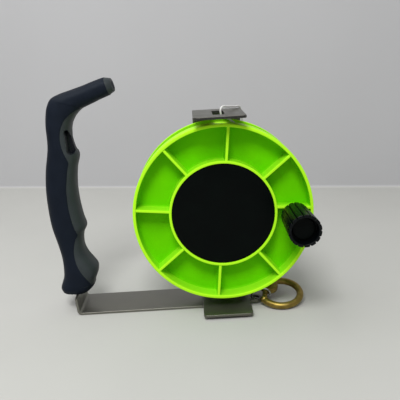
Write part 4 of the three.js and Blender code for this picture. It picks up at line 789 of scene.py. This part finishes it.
# Takes the shapes of the cutters out of a piece and keeps the result as its mesh.
def cutOut(piece, cutterSkins):
    for i, cutter in enumerate(cutterSkins):
        tool = addObject(f"cutter{i}", makeMesh(f"cutter{i}", [cutter]))
        modifier = piece.modifiers.new("cut", "BOOLEAN")
        modifier.operation = "DIFFERENCE"
        modifier.solver = "EXACT"
        modifier.use_self = True
        modifier.object = tool
        result = bpy.data.meshes.new_from_object(piece.evaluated_get(bpy.context.evaluated_depsgraph_get()))
        piece.modifiers.clear()
        old = piece.data
        piece.data = result
        bpy.data.meshes.remove(old)
        bpy.data.objects.remove(tool)
    piece.data.set_sharp_from_angle(angle=np.radians(sharpAngle))


# Some cut sides of a strip take a second, darker finish that is painted shade: isShaded picks these faces by their
# normals and middles.
def paintEdgeShade(piece, isShaded):
    faces = piece.data.polygons
    piece.data.materials.append(finish["shaded cut edge"])
    shadedSide = isShaded(readRows(faces, "normal"), toMillimetres(readRows(faces, "center")))
    faces.foreach_set("material_index", shadedSide.astype(np.int32))


# A flat outline of (x, y) points carried straight up from one height to another.
def uprightPrism(outline, low, high):
    outline = np.asarray(outline, float)
    return skin(np.stack([np.column_stack([outline, np.full(len(outline), z)]) for z in (low, high)]))


# x + radius cos(turn), y + radius sin(turn)
def circle(x, y, radius, steps=40):
    turn = np.linspace(0, 2 * np.pi, steps, endpoint=False)
    return np.stack([x + radius * np.cos(turn), y + radius * np.sin(turn)], axis=-1)


lug = {"place": (23.9, 17.8, -79.0), "disc": (3.7, 6.0, -1, 1), "rounding": 0.5, "hole": 3.7,
       "arm": (18.5, 23.9, 11.9, 23.7), "armHeights": (-79.95, -78.05)}
# holes: (x, height, radius) in the back plate; the line's slot is cut through the top
holes = {"slot": (-4.5, 4.5, 0, 28), "slotRounding": 2.0, "slotHeights": (70, 80), "bottomHeights": (-82, -76),
         "screws": (-9, 9), "screwRow": 33.0, "screw": 2.7, "plate": [(0, 0, 5.2), (0, 47, 6.2)],
         "plateMiddle": 45.0, "plateHalf": 3, "sink": 4.6, "sinkReach": (-0.05, 2.05)}
# the top tab's cut faces that get painted shade: above this height, this steep, and in front of this depth
shadedFaces = {"above": 70, "steep": 0.8, "before": 30}


# The bent strip with the lug's disc and arm, and all holes cut through it.
def makeBracket():
    s = strip
    corners = [(s["topFront"], s["top"]), (s["back"], s["top"]), (s["back"], s["bottom"]),
               (s["bottomFront"], s["bottom"])]
    path = bentLine(corners, s["bend"])
    body = bentStrip(path, pathNormals(path, (0, 0)), lambda along: np.full(len(along), s["width"] / 2), s["corner"],
                     lambda across, place: np.dstack([across, place[..., 0], place[..., 1]]))
    disc = stoodUp(turned(roundCorners(rectangle(*lug["disc"]), lug["rounding"]), steps=64), lug["place"])
    arm = uprightPrism(rectangle(*lug["arm"]), *lug["armHeights"])
    piece = makePiece("bent_frame", [body, disc, arm], "frame", finish["frame steel"],
                      ["frame_bracket"])
    slot = roundCorners(rectangle(*holes["slot"]), holes["slotRounding"], steps=8)
    below = [(*lug["place"][:2], lug["hole"])] + [(x, holes["screwRow"], holes["screw"]) for x in holes["screws"]]
    half = holes["plateHalf"]
    cutOut(piece, [uprightPrism(slot, *holes["slotHeights"])]
           + [uprightPrism(circle(*hole), *holes["bottomHeights"]) for hole in below]
           + [stoodUp(uprightPrism(circle(0, 0, radius), -half, half), (x, holes["plateMiddle"], z))
              for x, z, radius in holes["plate"]])
    # The top tab's side and front cut faces are painted dark: painted shade.
    paintEdgeShade(piece, lambda normal, middle: (middle[:, 2] > shadedFaces["above"]) & (
        (np.abs(normal[:, 0]) > shadedFaces["steep"]) | (
            (np.abs(normal[:, 1]) > shadedFaces["steep"]) & (middle[:, 1] < shadedFaces["before"]))))


bar = {"front": 11.0, "right": 18.0, "left": -123.0, "bend": 4.2, "lean": 5.3, "top": 95.0, "tang": 22.0,
       "shoulder": 10.0, "shoulderRun": 0.8, "step": 0.8, "corner": 1.5, "towards": (-60, 0)}


# The flat bar bends up at its left end into the tang, which is narrower above its shoulder.
def makeBar():
    b = bar
    low = standHeight
    lean = np.radians(b["lean"])
    corners = [(b["right"], low), (b["left"], low),
               (b["left"] - b["top"] * np.sin(lean), low + b["top"] * np.cos(lean))]
    path = bentLine(corners, b["bend"])
    middle = b["front"] + strip["width"] / 2
    shoulder = runLength(path)[-1] - b["top"] + b["bend"] + b["shoulder"]

    def halfWidth(along):
        narrow = np.clip((along - shoulder) / b["shoulderRun"], 0, 1)
        return strip["width"] / 2 * (1 - narrow) + b["tang"] / 2 * narrow

    steps = np.maximum(np.ceil(np.linalg.norm(np.diff(path, axis=0), axis=1) / b["step"]), 1).astype(int)
    at = np.concatenate([np.linspace(i, i + 1, n, endpoint=False) for i, n in enumerate(steps)] + [[len(path) - 1]])
    path = np.stack([np.interp(at, np.arange(len(path)), path[:, i]) for i in range(2)], axis=-1)
    body = bentStrip(path, pathNormals(path, b["towards"]), halfWidth, b["corner"],
                     lambda across, place: np.dstack([place[..., 0], middle + across, place[..., 1]]))
    piece = makePiece("handle_strip", [body], "frame", finish["bar steel"], ["handle_bar"])
    under, over = holes["sinkReach"]
    sink = turned([(holes["sink"], low + under), (holes["screw"], low + over)], steps=40, closed=False)
    cutOut(piece, [stoodUp(sink, (x, holes["screwRow"], 0)) for x in holes["screws"]])


makeBracket()
makeBar()
print("frame made")


handle = {
    "back": -141.2, "base": -71.5, "width": 63.7, "height": 179.6, "thickness": 30.0, "middle": 30.5,
    "square": 2.6, "rows": 300, "stepsPerSpan": 12, "coreColumns": 128, "coreInset": 0.35,
    "seamWidth": 1.7, "seamInset": 1.6, "underInset": 6.0, "windowColumns": 7, "seamColumns": 9, "backColumns": 40,
    "narrowest": 0.03, "thinnest": 0.05, "gripEnd": 1.2, "coreEnd": 1.0, "endSteps": 7,
    # one section per row, base to tip: back x, back z, finger x, finger z, thickness, as shares
    "sections": [
        (0.07, 0.034, 0.42, 0.028, 0.9), (0.055, 0.05, 0.484, 0.05, 1.0), (0.08, 0.078, 0.52, 0.082, 1.0),
        (0.105, 0.103, 0.559, 0.117, 1.0), (0.115, 0.145, 0.562, 0.143, 1.0), (0.115, 0.178, 0.518, 0.168, 0.98),
        (0.107, 0.212, 0.452, 0.202, 0.95), (0.088, 0.251, 0.414, 0.238, 0.93), (0.063, 0.29, 0.41, 0.277, 0.93),
        (0.041, 0.323, 0.429, 0.31, 0.95), (0.027, 0.348, 0.468, 0.338, 0.97), (0.017, 0.384, 0.44, 0.383, 0.98),
        (0.008, 0.465, 0.41, 0.459, 1.0), (0.014, 0.537, 0.405, 0.536, 1.0), (0.038, 0.61, 0.43, 0.61, 0.98),
        (0.072, 0.668, 0.471, 0.669, 0.96), (0.094, 0.71, 0.433, 0.704, 0.94), (0.1, 0.754, 0.407, 0.754, 0.92),
        (0.1, 0.799, 0.421, 0.8, 0.9), (0.113, 0.846, 0.469, 0.834, 0.88), (0.138, 0.885, 0.537, 0.86, 0.86),
        (0.192, 0.918, 0.603, 0.875, 0.84), (0.294, 0.936, 0.662, 0.884, 0.82), (0.458, 0.953, 0.733, 0.894, 0.8),
        (0.609, 0.969, 0.797, 0.904, 0.78), (0.752, 0.986, 0.867, 0.913, 0.76), (0.867, 0.9965, 0.929, 0.922, 0.74),
        (0.929, 0.994, 0.976, 0.932, 0.62),
    ],
    # the seam between rubber and hard core, top to base, and the one across the tip
    "seam": [
        (0.56, 0.871), (0.497, 0.862), (0.446, 0.85), (0.392, 0.835), (0.35, 0.816), (0.319, 0.793), (0.302, 0.768),
        (0.298, 0.738), (0.309, 0.707), (0.331, 0.68), (0.36, 0.655), (0.368, 0.642), (0.347, 0.614),
        (0.324, 0.569), (0.306, 0.525), (0.304, 0.479), (0.308, 0.433), (0.325, 0.387), (0.35, 0.344),
        (0.377, 0.31), (0.346, 0.292), (0.322, 0.264), (0.31, 0.236), (0.314, 0.207), (0.33, 0.178),
        (0.36, 0.148), (0.397, 0.123), (0.441, 0.097), (0.473, 0.072),
    ],
    # how far a seam point may lie off a section's line, and how much one beyond the section counts
    "seamOff": 1.5, "seamBeyond": 1.05, "beyondWeight": 3, "tipSeam": 0.98, "tipRun": 0.006,
    "recess": {"top": (0.362, 0.776), "bottom": (0.398, 0.692), "half": (1.2, 2.4), "depth": 7.5, "edge": 0.7,
               "least": 3.0, "paintedShadeGain": 3},
}


# 3 s^2 - 2 s^3: from 0 to 1 with level ends.
def smoothStep(share):
    return share ** 2 * (3 - 2 * share)


# Shares of the handle's width and height become places.
def handlePoint(shares):
    shares = np.asarray(shares, float)
    return np.stack([handle["back"] + shares[..., 0] * handle["width"],
                     handle["base"] + shares[..., 1] * handle["height"]], axis=-1)


# The sections run smoothly from base to tip, in rows at even steps along their middles.
def handleRows():
    table = np.array(handle["sections"])
    lines = np.concatenate([handlePoint(table[:, 0:2]), handlePoint(table[:, 2:4]), table[:, 4:5]], axis=1)
    lengths = runLength((lines[:, 0:2] + lines[:, 2:4]) / 2)
    at = np.linspace(0, lengths[-1], handle["rows"])
    smoothBack = smoothPath(lines[:, [0, 1, 4]], handle["stepsPerSpan"])
    smoothFinger = smoothPath(lines[:, [2, 3, 4]], handle["stepsPerSpan"])
    share = np.linspace(0, len(lines) - 1, len(smoothBack))
    where = np.interp(at, lengths, np.arange(len(lines)))
    pick = lambda values: np.interp(where, share, values)
    back = np.stack([pick(smoothBack[:, 0]), pick(smoothBack[:, 1])], axis=-1)
    finger = np.stack([pick(smoothFinger[:, 0]), pick(smoothFinger[:, 1])], axis=-1)
    return back, finger, pick(smoothBack[:, 2]) * handle["thickness"] / 2, at / lengths[-1]


# Where the seam crosses each section: 1 is the finger side, -1 the back. Every seam point is measured along and
# across each section's line, and the one nearest to the line is taken.
def seamAcross(back, finger):
    h = handle
    seam = handlePoint(h["seam"])
    path = smoothPath(np.column_stack([seam, np.zeros(len(seam))]), h["stepsPerSpan"])[:, :2]
    middle, half = (back + finger) / 2, (finger - back) / 2
    offset = path[None] - middle[:, None]
    length = np.linalg.norm(half, axis=1)[:, None]
    along = np.einsum("ijk,ik->ij", offset, half) / length ** 2
    across = np.abs(offset[..., 0] * half[:, 1:] - offset[..., 1] * half[:, :1]) / length
    beyond = np.maximum(np.abs(along) - h["seamBeyond"], 0)
    rows = np.arange(len(back))
    nearest = np.argmin(across + h["beyondWeight"] * beyond, axis=1)
    return np.where(across[rows, nearest] > h["seamOff"], 1.0, np.clip(along[rows, nearest], -1, 1))


# A point of the handle's skin: middle + across half-width + aside half-thickness, where across and aside are
# cos and sin of the turn raised to 2/n and keep their sign. inset moves the skin inwards.
def handleSurface(back, finger, thick, turn, inset):
    power = 2 / handle["square"]
    cos, sin = np.cos(turn), np.sin(turn)
    across = np.sign(cos) * np.abs(cos) ** power
    aside = np.sign(sin) * np.abs(sin) ** power
    middle, half = (back + finger) / 2, (finger - back) / 2
    length = np.linalg.norm(half, axis=1)[:, None]
    wide = np.maximum(length - inset, handle["thinnest"]) / length
    deep = np.maximum(thick[:, None] - inset, handle["thinnest"])
    x = middle[:, :1] + half[:, :1] * across * wide
    z = middle[:, 1:] + half[:, 1:] * across * wide
    y = handle["middle"] + deep * aside
    return np.stack([x, y, z], axis=-1)


# Extra rows beyond both ends, each a smaller copy of the end section moved outwards by bulge k: its size is
# sqrt(1 - k^2).
def roundEnds(grid, bulge):
    k = np.linspace(0, 1, handle["endSteps"])[1:]
    size = np.sqrt(np.maximum(1 - k ** 2, 0.0004))[:, None, None]
    parts = [grid]
    for end, inner, first in ((grid[:1], grid[1:2], True), (grid[-1:], grid[-2:-1], False)):
        middle = end.mean(axis=1, keepdims=True)
        outwards = unit(middle - inner.mean(axis=1, keepdims=True))
        rows = middle + (end - middle) * size + outwards * (bulge * k)[:, None, None]
        parts = [rows[::-1]] + parts if first else parts + [rows]
    return np.concatenate(parts)


# The rubber is the handle's skin, sunk where the hard core shows on the finger side and at the tip; the core is
# the same skin a little smaller, with its recess.
def makeHandle():
    h = handle
    back, finger, thick, share = handleRows()
    seam = seamAcross(back, finger)[:, None]
    opening = np.where(seam >= 0.999, 0.0, np.arccos(np.sign(seam) * np.abs(seam) ** (h["square"] / 2)))
    band = h["seamWidth"] / (np.linalg.norm(finger - back, axis=1)[:, None] / 2)
    # columns of the rubber: a few across the window that shows the core, many over the seam's step and the rest
    inWindow = np.linspace(0, 1, h["windowColumns"])[:-1]
    overSeam = np.linspace(-1, 1, h["seamColumns"])
    outside = np.linspace(0, 1, h["backColumns"])[1:]
    start = np.maximum(opening - band, h["narrowest"])
    half = np.concatenate([start * inWindow, start + (band + opening - start) * (overSeam[None] + 1) / 2,
                           opening + band + (np.pi - opening - band) * outside], axis=1)
    turn = np.concatenate([half, (2 * np.pi - half)[:, -2:0:-1]], axis=1)
    within = opening - np.minimum(turn, 2 * np.pi - turn)
    sunk = np.where(opening > 0, np.clip(within / band + 0.5, 0, 1), 0)
    sunk = np.maximum(sunk, np.clip((share - h["tipSeam"]) / h["tipRun"], 0, 1)[:, None])
    under = np.where(opening > 0, np.clip(within / (3 * band) - 0.3, 0, 1), 0)
    inset = h["seamInset"] * smoothStep(sunk) + h["underInset"] * under
    rubber = roundEnds(handleSurface(back, finger, thick, turn, inset), h["gripEnd"])
    makePiece("grip_rubber", [skin(rubber)], "frame", finish["grip rubber"], ["handle_grip"])
    turn = np.linspace(0, 2 * np.pi, h["coreColumns"], endpoint=False)[None]
    core = sinkRecess(handleSurface(back, finger, thick, turn, h["coreInset"] + 0 * turn))
    shell = makePiece("handle_shell", [skin(roundEnds(core, h["coreEnd"]))], "frame", finish["grey plastic"],
                      ["handle_core"])
    # The recess is painted darker than the grey plastic: painted shade.
    addPaintedLightShare(shell, lambda place, normal: np.clip(
        h["recess"]["paintedShadeGain"] * recessShare(place[:, [0, 2]]), 0, 1))


# 1 within the recess, 0 outside it: the half width grows from its top to its bottom.
def recessShare(flat):
    recess = handle["recess"]
    a, b = handlePoint(recess["top"]), handlePoint(recess["bottom"])
    run = b - a
    along = np.clip(((flat - a) @ run) / (run @ run), 0, 1)
    distance = np.linalg.norm(flat - (a + along[..., None] * run), axis=-1)
    half = np.interp(along, [0, 1], recess["half"])
    return smoothStep(np.clip((half + recess["edge"] / 2 - distance) / recess["edge"], 0, 1))


# Points of the recess move towards the handle's middle plane, but no nearer to it than the least depth.
def sinkRecess(grid):
    recess = handle["recess"]
    aside = grid[..., 1] - handle["middle"]
    deep = np.abs(aside) - recess["depth"] * recessShare(grid[..., [0, 2]])
    sunk = np.sign(aside) * np.maximum(deep, np.minimum(np.abs(aside), recess["least"]))
    return np.stack([grid[..., 0], handle["middle"] + sunk, grid[..., 2]], axis=-1)


makeHandle()
print("handle made")


snap = {
    "place": (30.6, 8.56, standHeight + 5.75), "tilt": 16.0, "yaw": -12.0, "hook": 15.9, "wire": 2.8,
    "start": 216.8, "sweep": 286.0, "hookSteps": 90, "nose": 3.3, "nosePole": 0.02,
    "boss": (0.5, 7.5, -2.5, 2.5), "bossRounding": [0.2, 1.2, 1.2, 0.2], "bossPlace": (2.5, 17.0, 0),
    # the barrel's outline: radius and place along it
    "barrel": [(2.6, 16), (6, 16), (6, 19), (5.2, 20), (5.2, 54), (6, 55), (6, 58), (2.6, 58)],
    "barrelRounding": [0.2, 0.7, 0.4, 0.4, 0.4, 0.4, 0.7, 0.2],
}


# The snap's own axes: x to the side of the hook, y along the barrel, turned first about z, then about x.
def snapAxes(points):
    yaw, tilt = np.radians(snap["yaw"]), np.radians(snap["tilt"])
    aboutZ = np.array([[np.cos(yaw), -np.sin(yaw), 0], [np.sin(yaw), np.cos(yaw), 0], [0, 0, 1]])
    aboutX = np.array([[1, 0, 0], [0, np.cos(tilt), -np.sin(tilt)], [0, np.sin(tilt), np.cos(tilt)]])
    return points @ (aboutX @ aboutZ).T + np.array(snap["place"])


# A skin in the snap's own axes goes to its place.
def inSnap(part):
    points, quads, fans = part
    return outward(snapAxes(points), quads, fans)


# The hook is a tube round most of a circle, with a ball as its nose; boss and barrel are turned.
def makeHook():
    s = snap
    middle = -s["hook"] * np.array([np.cos(np.radians(s["start"])), np.sin(np.radians(s["start"])), 0])
    turn = np.radians(s["start"] + s["sweep"] * np.linspace(0, 1, s["hookSteps"]))
    path = middle + s["hook"] * np.stack([np.cos(turn), np.sin(turn), 0 * turn], axis=-1)
    rise = np.linspace(s["nosePole"], np.pi - s["nosePole"], 18)
    nose = turned(np.stack([s["nose"] * np.sin(rise), -s["nose"] * np.cos(rise)], axis=-1), steps=32, closed=False)
    boss = stoodUp(turned(roundCorners(rectangle(*s["boss"]), s["bossRounding"]), steps=48), s["bossPlace"])
    barrel = turned(roundCorners(s["barrel"], s["barrelRounding"]), steps=64)
    parts = [inSnap(part) for part in (tube(path, s["wire"], 24), nose, boss, barrel)]
    makePiece("snap_body", parts, "snap", finish["brass"], ["snap_hook_body"])


link = {"place": (28.6, 15.1, standHeight + 7.55), "tilt": 120.0, "radius": 7.6, "wire": 0.74, "steps": 72,
        "sides": 16}


# A ring of wire, tilted about the X axis: radius + wire cos(around) outwards, wire sin(around) aside.
def makeLink():
    turn = np.linspace(0, 2 * np.pi, link["steps"], endpoint=False)[:, None]
    around = np.linspace(0, 2 * np.pi, link["sides"], endpoint=False)[None]
    tilt = np.radians(link["tilt"])
    wide = link["radius"] + link["wire"] * np.cos(around)
    x, y, z = wide * np.cos(turn), wide * np.sin(turn), link["wire"] * np.sin(around) + 0 * turn
    grid = np.stack([x, y * np.cos(tilt) - z * np.sin(tilt), y * np.sin(tilt) + z * np.cos(tilt)], axis=-1)
    makePiece("frame_ring", [skin(grid + np.array(link["place"]), along=True)], "link", finish["bright steel"],
              ["link_ring"])


knot = {"eye": 76.6, "ring": 3.4, "wrapRadius": 1.5, "from": 3.3, "to": 5.9, "turns": 2.4, "tail": 2.6,
        "tailRise": 0.15, "strands": (3.0, 4.6, 6.4), "strandRadius": 0.8, "ringSteps": 48, "coilSteps": 70}


# The end of the line is tied to itself through the snap's eye: one ring of line through the eye, and a helix of
# almost two and a half turns about the strands that leave it, whose last end sticks out to the side.
def makeKnot():
    k = knot
    turn = np.linspace(0, 2 * np.pi, k["ringSteps"], endpoint=False)[:, None]
    around = np.linspace(0, 2 * np.pi, lead["sides"], endpoint=False)[None]
    wire = lead["diameter"] / 2
    wide = k["ring"] + wire * np.cos(around)
    ring = np.stack([wire * np.sin(around) + 0 * turn, k["eye"] + wide * np.sin(turn), wide * np.cos(turn)], axis=-1)
    share = np.linspace(0, 1, k["coilSteps"])
    angle = 2 * np.pi * k["turns"] * share
    coil = np.stack([k["wrapRadius"] * np.cos(angle), k["eye"] + k["wrapRadius"] * np.sin(angle),
                     k["from"] + (k["to"] - k["from"]) * share], axis=-1)
    ahead = np.array([-np.sin(angle[-1]), np.cos(angle[-1]), k["tailRise"]])
    tail = coil[-1] + np.array([[0.3], [0.6], [1.0]]) * k["tail"] * ahead
    strands = np.array([[0.0, k["eye"], z] for z in k["strands"]])
    parts = [skin(ring, along=True), tube(np.vstack([coil, tail]), wire, lead["sides"]),
             tube(strands, k["strandRadius"], lead["sides"], hint=(1, 0, 0))]
    makePiece("end_knot", [inSnap(part) for part in parts], "swivel_eye", finish["line core"],
              ["line_end_knot"])


makeHook()
makeLink()
makeKnot()
print("snap made")


# the pieces that keep their CAD shape
nodeFinish = {
    "bright steel": ["ratchet_ring", "ratchet_screw_1", "ratchet_screw_2", "ratchet_screw_3", "spool_screw_1",
                     "spool_screw_2", "spool_screw_3", "spool_screw_4", "crank_pin", "crank_washer", "crank_nut",
                     "frame_screw_1", "frame_screw_2", "frame_nut_1", "frame_nut_2", "axle_bolt",
                     "axle_rear_washer", "axle_front_washer", "axle_nut", "tang_pin_lower", "tang_pin_upper",
                     "selector_shaft", "selector_lever", "selector_nut", "selector_rivet", "pawl", "pawl_spring",
                     "plunger_spring"],
    "brass": ["snap_plunger", "snap_thumb_stud", "snap_swivel_eye", "selector_bush"],
    "white acetal": ["front_bush", "rear_bush", "axle_spacer"],
    "black plastic": ["selector_knob"],
    "label black": ["knob_cap"],
}
for name, nodeNames in nodeFinish.items():
    for nodeName in nodeNames:
        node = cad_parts[nodeName]
        node.data.materials.clear()
        node.data.materials.append(finish[name])
print("finishes given to the other pieces")
